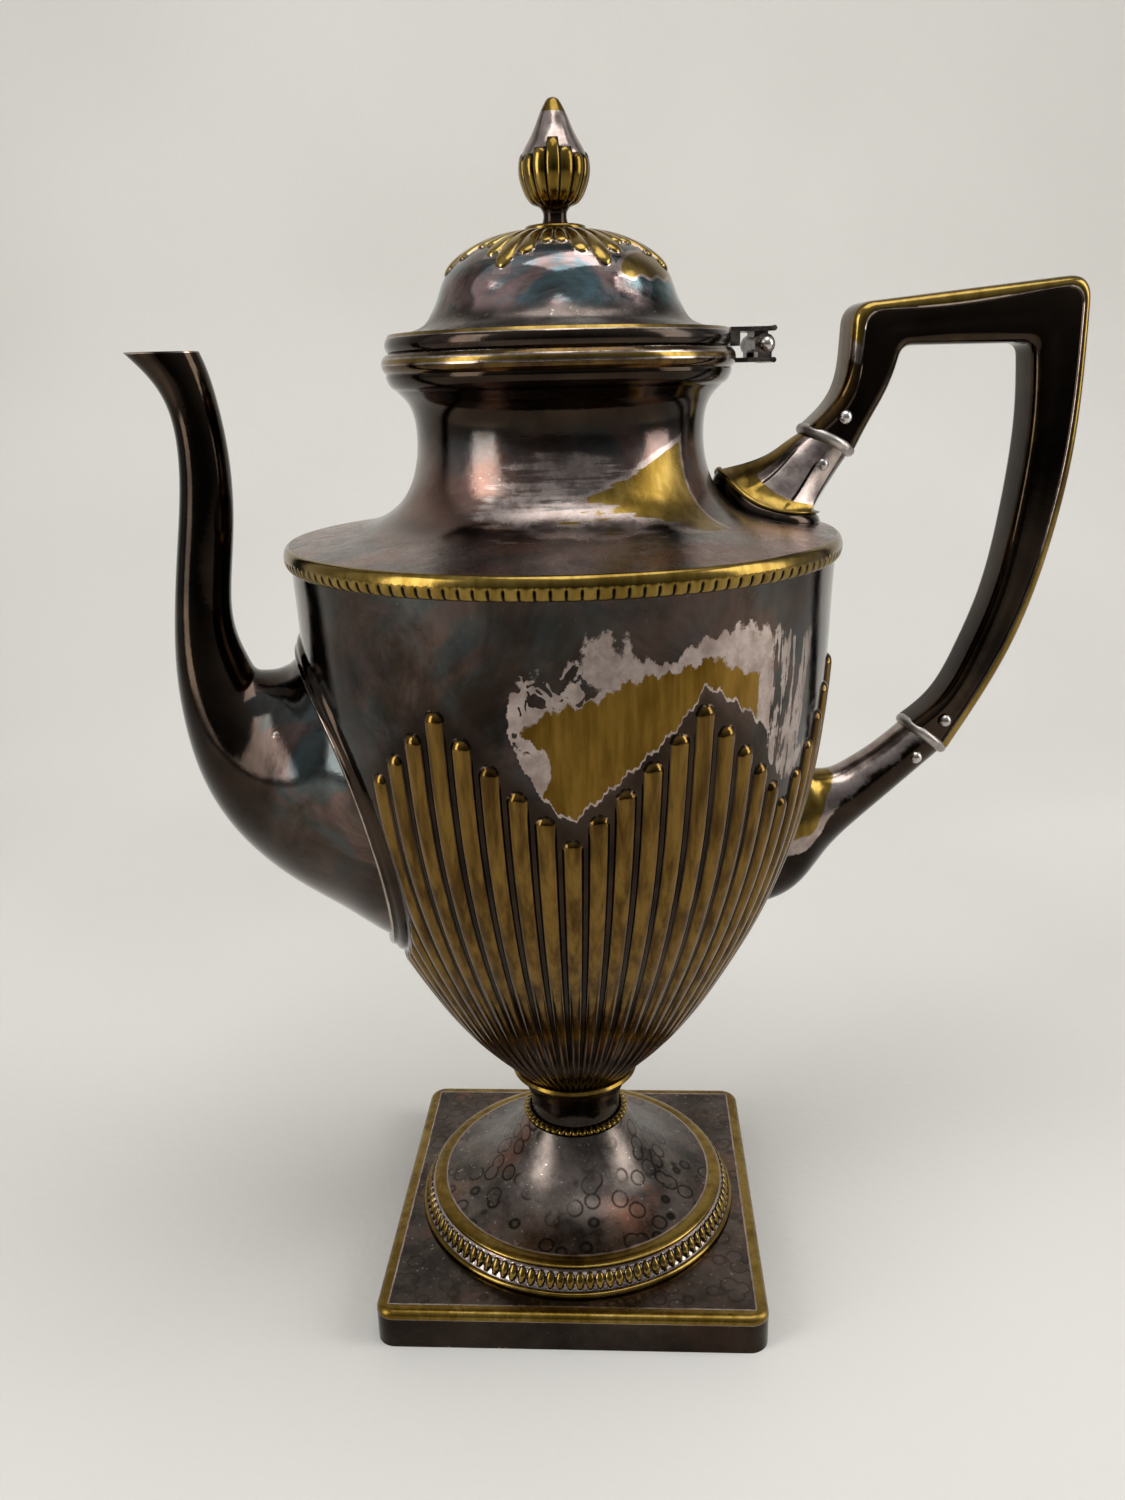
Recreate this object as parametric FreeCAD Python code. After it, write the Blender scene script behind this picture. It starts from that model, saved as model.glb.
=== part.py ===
import FreeCAD, Part
import math
import os

# Silver-plated coffee pot on a square foot, in millimetres.
# The origin is the centre of the foot's underside and +Z is up.
# The handle is towards +X and the spout towards -X.

# Sheet and fits
sheet = 1.2
spout_wall = 1.0
pin_clearance = 0.05
seat_gap = 0.2
section_steps = 8

# Foot
plinth_side = 100.0
plinth_height = 10.5
plinth_corner = 5.0
plinth_edge = 1.8
plinth_wall = 1.8
foot_turn = -10.0
foot_ring_radius = 44.4
foot_ring_width = 6.4
foot_ring_lip = 1.5
foot_ring_height = 6.5
foot_ring_slope = 3.2
foot_band_height = 1.0
foot_band_depth = 2.8
foot_dome_height = 19.2
foot_dome_setback = 0.3

# Stem and cup
stem_radius = 12.9
stem_wall = 1.8
stem_height = 13.0
stem_waist = 0.6
stem_bead = 2.0
cup_height = 6.6
cup_radius = 17.2
cup_step = 3.8
cup_bore_step = 1.2
cup_foot_step = 0.6
cup_waist_step = 1.4

# Body: the outline is a list of shares of the body's radius and height, from the bottom upwards
body_radius = 64.9
body_height = 145.0
body_outline_shares = [
    (0.21, 0.0), (0.243, 0.0193), (0.376, 0.087), (0.525, 0.175), (0.633, 0.257), (0.769, 0.379),
    (0.881, 0.517), (0.937, 0.621), (0.969, 0.724), (0.988, 0.841), (0.993, 0.917), (1.0, 1.0),
]

# Shoulder band and neck: the outline gives steps in from the body's edge, and heights above the shoulder's
band_overhang = 1.5
band_height = 5.2
shoulder_edge = 4.0
neck_outline = [
    (7.1, 1.1), (13.5, 2.3), (18.1, 3.5), (21.3, 4.7), (23.8, 6.1), (26.8, 8.7), (29.0, 12.1),
    (30.4, 16.1), (31.1, 20.1), (31.2, 23.6), (30.7, 28.1), (29.4, 31.1), (26.7, 34.1), (25.0, 37.3),
]
rim_height = 4.2
rim_bulge = 1.0
rim_width = 2.3

# Lid: the dome's outline gives shares of the flange's radius and heights above the flange
flange_setback = 0.5
flange_height = 4.1
flange_bulge = 0.3
bezel_depth = 6.0
bezel_clearance = 1.0
dome_outline = [
    (0.944, 0.0), (0.843, 0.8), (0.772, 2.3), (0.731, 4.7), (0.698, 7.3), (0.673, 9.9), (0.64, 12.5),
    (0.579, 15.1), (0.472, 17.8), (0.32, 20.0), (0.175, 20.9),
]

# Finial: the outline gives radii and heights above the collar
collar_radius = 6.8
collar_height = 1.7
bud_outline = [
    (3.4, 0.0), (3.0, 2.6), (5.4, 5.0), (7.0, 7.6), (7.8, 10.6), (7.8, 12.6), (7.1, 15.2),
    (5.8, 17.5), (4.6, 19.7), (3.5, 22.2), (2.2, 24.7), (1.2, 25.9),
]
bud_tip = 26.3
finial_screw_radius = 1.5
finial_screw_reach = 9.0
finial_nut_width = 6.0
finial_nut_height = 2.4

# Lid hinge
hinge_offset = 8.1
hinge_rise = 0.6
hinge_pin_radius = 1.0
knuckle_radius = 2.4
knuckle_length = 6.0
knuckle_gap = 0.15
outer_knuckle_length = 3.2
pin_ball_radius = 1.8
leaf_thickness = 1.0
leaf_half_width = 7.0
leaf_standoff = 0.5
leaf_lip = 2.0
leaf_root = 3.4

# Spout: each row is the outer edge, the inner edge and the half width of one section.
# Edges are given as reach beyond the body's radius and rise above the body's upper edge.
spout_sections = [
    ((-36.0, -104.0), (-22.0, -4.0), 35.5),
    ((-18.9, -97.0), (-7.9, -13.0), 34.6),
    ((-6.6, -88.5), (1.2, -23.7), 27.5),
    ((5.1, -80.7), (4.0, -25.9), 22.5),
    ((13.5, -73.4), (6.6, -26.6), 18.6),
    ((19.4, -66.3), (8.9, -26.6), 15.8),
    ((25.9, -53.2), (11.1, -26.1), 12.8),
    ((29.0, -38.0), (12.5, -23.2), 10.2),
    ((29.5, -24.0), (14.3, -18.0), 8.2),
    ((28.3, -10.8), (15.1, -10.5), 6.7),
    ((25.5, 7.0), (12.9, 7.0), 6.2),
    ((23.4, 26.0), (12.2, 26.0), 5.7),
    ((24.8, 36.3), (13.5, 37.0), 5.7),
    ((28.2, 42.4), (15.6, 45.6), 5.9),
    ((32.9, 47.5), (19.4, 53.5), 5.8),
]
spout_lip_rise = 47.3
frame_width = 4.0
frame_height = 1.8
frame_sections = 5
strainer_hole_radius = 1.8
strainer_pitch = 6.0
strainer_rows = 5
strainer_columns = 3
strainer_rise = -62.0

# Handle: edges are given as reach beyond the body's radius and rise above the body's upper edge
grip_radius = 6.4
grip_depth = 6.1
grip_rounding = 2.6
handle_left_outer = [(1.6, 34.6), (3.4, 40.0), (3.9, 45.4), (4.3, 54.8)]
handle_right_outer = [(62.6, 60.6), (63.1, 41.3), (62.5, 20.0), (58.9, -3.0), (50.6, -29.4), (43.9, -42.3)]
handle_left_inner = [(10.0, 28.8), (13.0, 34.2), (15.2, 39.6), (16.7, 45.2)]
handle_right_inner = [(49.2, 45.2), (50.3, 30.4), (48.8, 7.1), (44.2, -17.1), (39.4, -29.8), (32.0, -42.7)]
outer_corner = 5.5
inner_corner = 3.5

# Insulators between the handle and its sockets, with the direction in which the handle leaves each
insulator_thickness = 1.7
insulator_overhang = 1.3
tenon_radius = 4.0
tenon_length = 9.5
upper_joint = (0.2, 23.8)
upper_joint_slope = 63.5
lower_joint = (30.0, -52.6)
lower_joint_slope = 52.5

# Sockets: rows like the spout's, from the joint towards the body
upper_socket_sections = [
    ((2.7, 15.8), (-9.2, 24.0), 6.9),
    ((-0.9, 9.9), (-15.2, 20.4), 8.9),
    ((-2.4, 6.6), (-26.2, 17.6), 12.2),
]
upper_base_margin = 0.9
upper_base_depth = 14.0
lower_socket_sections = [
    ((25.5, -64.8), (16.5, -55.4), 6.5),
    ((18.1, -71.0), (11.1, -58.6), 6.8),
    ((10.6, -77.2), (5.6, -61.0), 7.6),
    ((4.1, -83.6), (1.1, -60.8), 8.8),
    ((-4.1, -93.4), (-1.4, -59.4), 10.5),
    ((-20.9, -98.5), (-12.9, -56.0), 11.5),
]
pin_radius = 1.1
pin_head_radius = 1.75
pin_offset = 6.0

# Radii and heights that follow from the sizes above
mouth_radius = body_radius - neck_outline[-1][0]
flange_radius = mouth_radius - flange_setback
foot_top = plinth_height + foot_ring_height + foot_band_height + foot_dome_height
cup_seat = foot_top + stem_height - cup_step
body_bottom = foot_top + stem_height
body_top = body_bottom + body_height
neck_bottom = body_top + shoulder_edge
neck_top = neck_bottom + neck_outline[-1][1]
rim_top = neck_top + rim_height
flange_bottom = rim_top + seat_gap
flange_top = flange_bottom + flange_height
dome_top = flange_top + dome_outline[-1][1]
collar_top = dome_top + collar_height

axis = FreeCAD.Vector(0, 0, 1)
sideways = FreeCAD.Vector(0, 1, 0)
origin = FreeCAD.Vector(0, 0, 0)


def point(across, up):
    """A point in the plane of the spout and the handle."""
    return FreeCAD.Vector(across, 0, up)


def lines(*corners):
    """Straight edges from each corner to the next."""
    return [Part.LineSegment(point(*a), point(*b)).toShape() for a, b in zip(corners, corners[1:])]


def curve(points):
    """A smooth curve through the points."""
    spline = Part.BSplineCurve()
    spline.interpolate([point(*p) for p in points])
    return spline


def arc(start, middle, end):
    """A round edge through three points."""
    return Part.Arc(point(*start), point(*middle), point(*end)).toShape()


def turned(edges):
    """A solid turned about the pot's axis from a closed outline."""
    wire = Part.Wire(Part.__sortEdges__(edges))
    return Part.Face(wire).revolve(origin, axis, 360)


def filled(points):
    """A solid turned from an outline that runs upwards, closed flat to the axis at both ends."""
    low = points[0]
    high = points[-1]
    closing = lines(high, (0, high[1]), (0, low[1]), low)
    return turned([curve(points).toShape()] + closing)


def inset(points, depth):
    """The outline moved towards its inside, square to itself; its ends move level."""
    spline = curve(points)
    moved = []
    for across, up in points:
        along = spline.tangent(spline.parameter(point(across, up)))[0]
        moved.append((across - depth * along.z, up + depth * along.x))
    moved[0] = (points[0][0] - depth, points[0][1])
    moved[-1] = (points[-1][0] - depth, points[-1][1])
    return moved


def ring(inner, outer, low, high):
    """A plain turned ring."""
    return turned(lines((inner, low), (outer, low), (outer, high), (inner, high), (inner, low)))


def rod(centre, direction, radius, length):
    """A round bar that starts at a point."""
    return Part.makeCylinder(radius, length, centre, direction)


def across_bar(place, radius, half_length):
    """A round bar through the pot's middle plane."""
    start = point(*place) - sideways * half_length
    return rod(start, sideways, radius, 2 * half_length)


def closed_section(outer, inner, half_width, grow=0.0):
    """An oval section square to the middle plane, as two smooth halves between its outer and inner edge."""
    a = point(*outer)
    b = point(*inner)
    half_length = (a - b).Length / 2 + grow
    along = (a - b).normalize() * half_length
    wide = sideways * (half_width + grow)
    halves = []
    for start in (0, math.pi):
        turns = [start + math.pi * step / section_steps for step in range(section_steps + 1)]
        half = Part.BSplineCurve()
        half.interpolate([(a + b) / 2 + along * math.cos(turn) + wide * math.sin(turn) for turn in turns])
        halves.append(half.toShape())
    return Part.Wire(halves)


def tube(sections, grow=0.0):
    """A solid lofted through oval sections."""
    wires = [closed_section(outer, inner, half, grow) for outer, inner, half in sections]
    return Part.makeLoft(wires, True, False)


def on_pot(place, side):
    """A reach beyond the body and a rise above its upper edge, as a place on one side of the pot."""
    return (side * (body_radius + place[0]), body_top + place[1])


def on_side(sections, side):
    """Section rows placed on one side of the pot."""
    return [(on_pot(outer, side), on_pot(inner, side), half) for outer, inner, half in sections]


# Foot

def make_plinth():
    half = plinth_side / 2
    block = Part.makeBox(plinth_side, plinth_side, plinth_height, FreeCAD.Vector(-half, -half, 0))
    uprights = [e for e in block.Edges if abs(e.tangentAt(e.FirstParameter).z) > 0.5]
    block = block.makeFillet(plinth_corner, uprights)
    top_edges = [e for e in block.Edges if e.BoundBox.ZMin > plinth_height - plinth_edge / 2]
    block = block.makeFillet(plinth_edge, top_edges)
    inner_half = half - plinth_wall
    inner_side = 2 * inner_half
    corner = FreeCAD.Vector(-inner_half, -inner_half, -plinth_wall)
    hollow = Part.makeBox(inner_side, inner_side, plinth_height, corner)
    uprights = [e for e in hollow.Edges if abs(e.tangentAt(e.FirstParameter).z) > 0.5]
    hollow = hollow.makeFillet(plinth_corner - plinth_wall, uprights)
    bore = rod(origin, axis, foot_ring_radius - foot_ring_width, plinth_height + 1)
    plinth = block.cut(hollow).cut(bore)
    plinth.rotate(origin, axis, foot_turn)
    return plinth


def make_foot_ring():
    """Flat lip and sloping face that carries the beads."""
    low = plinth_height
    high = low + foot_ring_height
    inner = foot_ring_radius - foot_ring_width
    top_radius = foot_ring_radius - foot_ring_slope
    lip = (foot_ring_radius, low + foot_ring_lip)
    foot = [(inner, low), (foot_ring_radius, low), lip]
    return turned(lines(*foot, (top_radius, high), (inner, high), (inner, low)))


def make_foot_dome():
    """Low rounded band at the edge, then a trumpet that rises to the stem."""
    low = plinth_height + foot_ring_height
    band_top = low + foot_band_height
    edge = foot_ring_radius - foot_ring_slope - foot_dome_setback
    shelf = edge - foot_band_depth
    neck = stem_radius + stem_bead / 2 + foot_dome_setback
    rise = foot_top - band_top
    span = shelf - neck
    slope = [(shelf, band_top), (shelf - 0.34 * span, band_top + 0.14 * rise),
             (shelf - 0.67 * span, band_top + 0.41 * rise), (shelf - 0.91 * span, band_top + 0.79 * rise),
             (neck, foot_top)]
    bulge = (edge - 0.12 * foot_band_depth, low + 0.62 * foot_band_height)
    outer = [arc((edge, low), bulge, (shelf, band_top)), curve(slope).toShape()]
    lower = inset(slope, sheet)
    lower[0] = (shelf - sheet, low)
    lower[-1] = (neck - 2 * sheet, foot_top)
    inner = [curve(lower).toShape()]
    closing = lines((neck, foot_top), lower[-1])
    skirt = lines(lower[0], (edge, low))
    return turned(outer + inner + closing + skirt)


def make_stem():
    low = foot_top
    high = body_bottom
    inner = stem_radius - stem_wall - cup_bore_step
    waist = [(stem_radius, low), (stem_radius - stem_waist, (low + cup_seat) / 2), (stem_radius, cup_seat)]
    step = stem_radius - cup_bore_step
    shoulder = [(stem_radius, cup_seat), (step, cup_seat), (step, high)]
    rest = lines(*shoulder, (inner, high), (inner, low), waist[0])
    return turned([arc(*waist)] + rest)


def make_stem_bead_ring():
    """Wire ring round the bottom of the stem."""
    inner = stem_radius + pin_clearance
    bulge = arc((inner + stem_bead / 2, foot_top), (inner + stem_bead * 0.85, foot_top + stem_bead / 2),
                (inner + stem_bead / 2, foot_top + stem_bead))
    sides = lines((inner + stem_bead / 2, foot_top + stem_bead), (inner, foot_top + stem_bead),
                  (inner, foot_top), (inner + stem_bead / 2, foot_top))
    return turned([bulge] + sides)


def make_body_cup():
    """Flared cup on the stem's step, open round the bottom of the body."""
    inner = stem_radius - cup_bore_step + pin_clearance
    low = cup_seat
    high = low + cup_height
    rim = sheet
    foot = (stem_radius + cup_foot_step, low)
    outer = [foot, (stem_radius + cup_waist_step, low + 0.45 * cup_height), (cup_radius, high - rim)]
    seat = (inner + cup_foot_step, body_bottom - seat_gap)
    middle = (body_outline_shares[0][0] * body_radius + sheet, body_bottom + sheet)
    lip = (cup_radius - rim, high)
    top = arc(outer[-1], (cup_radius - 0.1 * rim, high - 0.3 * rim), lip)
    base = lines(seat, (inner, body_bottom - seat_gap), (inner, low), foot)
    cup = turned([curve(outer).toShape(), top, curve([lip, middle, seat]).toShape()] + base)
    return cup.cut(filled(inset(body_outline(), -seat_gap)))


# Body

def body_outline():
    return [(share * body_radius, body_bottom + rise * body_height) for share, rise in body_outline_shares]


def make_body_shell():
    """Spun urn with strainer holes behind the spout."""
    outline = body_outline()
    hollow = inset(outline, sheet)
    low = outline[0]
    floor = low[1] + sheet
    hollow[0] = (hollow[0][0], floor)
    hollow[1] = (hollow[1][0], max(hollow[1][1], floor + sheet / 2))
    edges = [curve(outline).toShape(), curve(hollow).toShape()]
    edges += lines(outline[-1], hollow[-1])
    edges += lines(hollow[0], (0, floor), (0, low[1]), low)
    return turned(edges).cut(Part.makeCompound(make_strainer_holes()))


def make_strainer_holes():
    """Rows of holes, each turned so that its seam stays out of the middle plane."""
    inward = FreeCAD.Vector(1, 0, 0)
    holes = []
    for row in range(strainer_rows):
        for column in range(strainer_columns):
            side = (column - (strainer_columns - 1) / 2) * strainer_pitch
            rise = body_top + strainer_rise + (row - (strainer_rows - 1) / 2) * strainer_pitch
            start = FreeCAD.Vector(-body_radius - sheet, side, rise)
            hole = rod(start, inward, strainer_hole_radius, body_radius)
            hole.rotate(start, inward, 90)
            holes.append(hole)
    return holes


def make_shoulder_band():
    """Wire round the widest edge, which covers the joint of body and shoulder."""
    inner = body_radius + pin_clearance
    low = body_top - band_height + shoulder_edge
    high = body_top + shoulder_edge
    bulge = arc((inner, low), (inner + band_overhang, (low + high) / 2), (inner, high))
    return turned([bulge] + lines((inner, high), (inner, low)))


def neck_profile():
    edge = [(body_radius, neck_bottom)]
    return edge + [(body_radius - step, neck_bottom + up) for step, up in neck_outline]


def neck_solid(depth=0.0):
    """The filled outside of the shoulder and neck, down to the body's upper edge or deeper."""
    outline = neck_profile()
    low = body_top - depth
    closing = lines(outline[-1], (0, neck_top), (0, low), (body_radius, low), outline[0])
    return turned([curve(outline).toShape()] + closing)


def make_shoulder_neck():
    outline = neck_profile()
    hollow = inset(outline, sheet)
    hollow[0] = (body_radius - sheet, neck_bottom - sheet)
    closing = lines(hollow[-1], (hollow[-1][0], neck_top + 1), (0, neck_top + 1), (0, body_top - 1),
                    (body_radius - sheet, body_top - 1), hollow[0])
    return neck_solid().cut(turned([curve(hollow).toShape()] + closing))


def make_mouth_rim():
    outer = mouth_radius
    inner = outer - rim_width
    middle = (outer + rim_bulge, (neck_top + rim_top) / 2)
    bulge = arc((outer, neck_top), middle, (outer, rim_top))
    return turned([bulge] + lines((outer, rim_top), (inner, rim_top), (inner, neck_top), (outer, neck_top)))


# Lid

def bezel_radius():
    return mouth_radius - rim_width - bezel_clearance


def make_lid_flange():
    inner = bezel_radius() - sheet
    middle = (flange_radius + flange_bulge, (flange_bottom + flange_top) / 2)
    bulge = arc((flange_radius, flange_bottom), middle, (flange_radius - flange_bulge, flange_top))
    rest = lines((flange_radius - flange_bulge, flange_top), (inner, flange_top), (inner, flange_bottom),
                 (flange_radius, flange_bottom))
    return turned([bulge] + rest)


def make_lid_bezel():
    outer = bezel_radius()
    return ring(outer - sheet, outer, flange_bottom - bezel_depth, flange_bottom)


def make_lid_dome():
    outline = [(share * flange_radius, flange_top + up) for share, up in dome_outline]
    hollow = inset(outline, sheet)
    hollow[-1] = (outline[-1][0], dome_top - sheet)
    hollow[-2] = (outline[-2][0] - 0.4 * sheet, outline[-2][1] - sheet)
    hollow[0] = (outline[0][0] - 2 * sheet, flange_top - 1)
    start = FreeCAD.Vector(0, 0, flange_top)
    bore = rod(start, axis, finial_screw_radius + pin_clearance, 2 * (dome_top - flange_top))
    return filled(outline).cut(filled(hollow)).cut(bore)


def make_finial_collar():
    bulge = arc((collar_radius, dome_top), (collar_radius + 0.2, dome_top + collar_height / 2),
                (collar_radius - 1.2, collar_top))
    bore = finial_screw_radius + pin_clearance
    edge = (collar_radius - 1.2, collar_top)
    rest = lines(edge, (bore, collar_top), (bore, dome_top), (collar_radius, dome_top))
    return turned([bulge] + rest)


def make_finial_bud():
    outline = [(across, collar_top + up) for across, up in bud_outline]
    tip = (0, collar_top + bud_tip)
    edges = [curve(outline + [tip]).toShape()] + lines(tip, (0, collar_top), outline[0])
    start = FreeCAD.Vector(0, 0, dome_top)
    depth = finial_screw_reach + collar_height
    return turned(edges).cut(rod(start, axis, finial_screw_radius + pin_clearance, depth))


def make_finial_screw():
    low = dome_top - sheet - finial_nut_height - 1.0
    high = collar_top + finial_screw_reach
    return rod(FreeCAD.Vector(0, 0, low), axis, finial_screw_radius, high - low)


def make_finial_nut():
    corner_radius = finial_nut_width / math.sqrt(3)
    corners = []
    for step in range(7):
        angle = math.radians(60 * step)
        corners.append(FreeCAD.Vector(corner_radius * math.cos(angle), corner_radius * math.sin(angle), 0))
    blank = Part.Face(Part.makePolygon(corners)).extrude(axis * finial_nut_height)
    bore = rod(FreeCAD.Vector(0, 0, -1), axis, finial_screw_radius + pin_clearance, finial_nut_height + 2)
    nut = blank.cut(bore)
    nut.translate(FreeCAD.Vector(0, 0, dome_top - sheet - finial_nut_height))
    return nut


# Hinge

def hinge_place():
    return (flange_radius + hinge_offset, rim_top + hinge_rise)


def make_leaf(level, root, low, high, side):
    """A hinge leaf with a rolled lip, and a web down or up to the knuckles."""
    x, z = hinge_place()
    length = x + leaf_lip - root
    plate = Part.makeBox(length, 2 * leaf_half_width, leaf_thickness,
                         FreeCAD.Vector(root, -leaf_half_width, level - leaf_thickness / 2))
    lip = across_bar((x + leaf_lip, level + side * 0.1), leaf_thickness * 0.62, leaf_half_width)
    web_low = min(level, z)
    web = Part.makeBox(2 * knuckle_radius * 0.7, high - low, abs(level - z),
                       FreeCAD.Vector(x - knuckle_radius * 0.7, low, web_low))
    return plate.fuse([lip, web])


def knuckle(low, high):
    x, z = hinge_place()
    return rod(FreeCAD.Vector(x, low, z), sideways, knuckle_radius, high - low)


def pin_hole():
    return across_bar(hinge_place(), hinge_pin_radius + pin_clearance, 2 * leaf_half_width)


def make_lid_hinge_leaf():
    half = knuckle_length / 2
    level = hinge_place()[1] + knuckle_radius + leaf_standoff + leaf_thickness / 2
    leaf = make_leaf(level, flange_radius - flange_bulge, -half, half, 1)
    leaf = leaf.fuse(knuckle(-half, half))
    root = Part.makeBox(leaf_root, 2 * half, level - flange_bottom - seat_gap,
                        FreeCAD.Vector(flange_radius - flange_bulge, -half, flange_bottom + seat_gap))
    leaf = leaf.fuse(root).cut(pin_hole())
    cover = rod(FreeCAD.Vector(0, 0, rim_top), axis, flange_radius + flange_bulge, dome_top - rim_top)
    return leaf.cut(cover)


def make_body_hinge_leaf():
    start = knuckle_length / 2 + knuckle_gap
    end = start + outer_knuckle_length
    level = hinge_place()[1] - knuckle_radius - leaf_standoff - leaf_thickness / 2
    outer = mouth_radius
    leaf = make_leaf(level, outer - rim_width, start, end, -1)
    x, z = hinge_place()
    other_web = Part.makeBox(2 * knuckle_radius * 0.7, end - start, z - level,
                             FreeCAD.Vector(x - knuckle_radius * 0.7, -end, level))
    leaf = leaf.fuse([other_web, knuckle(start, end), knuckle(-end, -start)]).cut(pin_hole())
    middle_room = across_bar(hinge_place(), knuckle_radius + seat_gap, start)
    leaf = leaf.cut(middle_room)
    middle = (outer + rim_bulge, (neck_top + rim_top) / 2)
    inside = filled([(outer, neck_top - rim_height), middle, (outer, rim_top + rim_height)])
    return leaf.cut(inside)


def make_hinge_pin():
    end = knuckle_length / 2 + knuckle_gap + outer_knuckle_length
    x, z = hinge_place()
    pin = across_bar((x, z), hinge_pin_radius, end)
    for side in (-1, 1):
        ball = Part.makeSphere(pin_ball_radius, FreeCAD.Vector(x, side * (end + 0.6 * pin_ball_radius), z))
        inner_part = across_bar((x, z), 2 * pin_ball_radius, end)
        pin = pin.fuse(ball.cut(inner_part))
    return pin


# Spout

def spout_rows():
    return on_side(spout_sections, -1)


def make_spout(body):
    """Swan-neck tube cut level at the lip and fitted to the body."""
    rows = spout_rows()
    pipe = tube(rows).cut(tube(rows, -spout_wall))
    lip = body_top + spout_lip_rise
    reach = 4 * body_radius
    above = Part.makeBox(reach, reach, reach, FreeCAD.Vector(-reach, -reach / 2, lip))
    return pipe.cut(above).cut(body)


def frame_block():
    """The room taken by the spout's root and its moulding."""
    return tube(spout_rows()[:frame_sections], frame_width)


def make_spout_frame(body, block):
    """Leaf-shaped moulding that lies on the body round the spout's root."""
    raised = filled(inset(body_outline(), -frame_height))
    return block.common(raised).cut(body).cut(tube(spout_rows()))


# Handle

def joint(place, slope):
    """Centre of a joint and the direction in which the handle leaves it."""
    across, up = on_pot(place, 1)
    turn = math.radians(slope)
    return point(across, up), FreeCAD.Vector(math.cos(turn), 0, math.sin(turn))


def joint_end(centre, direction, side, away):
    """Where an edge of the handle or a socket meets the insulator."""
    level = FreeCAD.Vector(direction.z, 0, -direction.x)
    spot = centre + direction * away * insulator_thickness / 2 + level * side * grip_radius
    return (spot.x, spot.z)


def make_insulator(centre, direction):
    """Round-edged disc with a tenon on each side."""
    radius = grip_radius + insulator_overhang
    start = centre - direction * insulator_thickness / 2
    disc = rod(start, direction, radius, insulator_thickness)
    disc = disc.makeFillet(insulator_thickness * 0.45, disc.Edges[:3:2])
    tenon = rod(centre - direction * tenon_length, direction, tenon_radius, 2 * tenon_length)
    return disc.fuse(tenon).cut(Part.makeCompound(make_pin_rods(centre, direction, pin_clearance)))


def make_pin_rods(centre, direction, grow):
    rods = []
    for side in (-1, 1):
        spot = centre + direction * pin_offset * side
        rods.append(across_bar((spot.x, spot.z), pin_radius + grow, grip_radius + 2 * pin_radius))
    return rods


def make_pins(centre, direction):
    """Two pins with domed heads, one through the socket and one through the handle."""
    pins = []
    for side in (-1, 1):
        spot = centre + direction * pin_offset * side
        pin = across_bar((spot.x, spot.z), pin_radius, grip_radius)
        for end in (-1, 1):
            face = FreeCAD.Vector(spot.x, end * grip_radius, spot.z)
            ball = Part.makeSphere(pin_head_radius, face - sideways * end * 0.4 * pin_head_radius)
            inside = across_bar((spot.x, spot.z), 2 * pin_head_radius, grip_radius)
            pin = pin.fuse(ball.cut(inside))
        pins.append(pin)
    return Part.makeCompound(pins)


def make_head_seats(centre, direction):
    """Room for the pins' domed heads."""
    seats = []
    for side in (-1, 1):
        spot = centre + direction * pin_offset * side
        for end in (-1, 1):
            middle = spot + sideways * end * (grip_radius - 0.4 * pin_head_radius)
            seats.append(Part.makeSphere(pin_head_radius + pin_clearance, middle))
    return seats


def tenon_room(centre, direction):
    start = centre - direction * (tenon_length + seat_gap)
    return rod(start, direction, tenon_radius + pin_clearance, 2 * (tenon_length + seat_gap))


def make_handle(upper, lower):
    """Angular cast handle with rounded edges, bored at its ends for the tenons."""
    left_outer = [joint_end(*upper, -1, 1)] + [on_pot(p, 1) for p in handle_left_outer]
    right_outer = [on_pot(p, 1) for p in handle_right_outer] + [joint_end(*lower, 1, 1)]
    left_inner = [joint_end(*upper, 1, 1)] + [on_pot(p, 1) for p in handle_left_inner]
    right_inner = [on_pot(p, 1) for p in handle_right_inner] + [joint_end(*lower, -1, 1)]
    edges = [curve(left_outer).toShape(), curve(right_outer).toShape()]
    edges += [curve(left_inner).toShape(), curve(right_inner).toShape()]
    edges += lines(left_outer[-1], right_outer[0]) + lines(left_inner[-1], right_inner[0])
    edges += lines(left_outer[0], left_inner[0]) + lines(right_outer[-1], right_inner[-1])
    face = Part.Face(Part.Wire(Part.__sortEdges__(edges)))
    block = extruded(face, grip_depth)
    block = round_corners(block, (left_outer[-1], right_outer[0]), outer_corner)
    block = round_corners(block, (left_inner[-1], right_inner[0]), inner_corner)
    long_edges = [e for e in block.Edges if is_long_edge(e, (upper, lower))]
    block = block.makeFillet(grip_rounding, long_edges)
    for centre, direction in (upper, lower):
        block = block.cut(tenon_room(centre, direction))
        block = block.cut(Part.makeCompound(make_pin_rods(centre, direction, pin_clearance)))
    return block


def extruded(face, half_depth):
    block = face.extrude(sideways * 2 * half_depth)
    block.translate(sideways * -half_depth)
    return block


def round_corners(block, corners, radius):
    """Round the edges that cross the handle at its corners."""
    picked = []
    for edge in block.Edges:
        middle = edge.CenterOfMass
        for corner in corners:
            if abs(middle.x - corner[0]) < 0.01 and abs(middle.z - corner[1]) < 0.01:
                picked.append(edge)
    return block.makeFillet(radius, picked)


def is_long_edge(edge, joints):
    """True for the edges along the handle's two faces, and false for those at its ends or across it."""
    if edge.BoundBox.YLength > 0.01:
        return False
    for centre, direction in joints:
        end = insulator_thickness / 2
        if all(abs((v.Point - centre).dot(direction) - end) < 0.01 for v in edge.Vertexes):
            return False
    return True


def socket_rows(sections, centre, direction):
    """The socket's sections, with a round one where it meets the insulator."""
    start = (joint_end(centre, direction, 1, -1), joint_end(centre, direction, -1, -1), grip_radius)
    return [start] + on_side(sections, 1)


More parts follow.
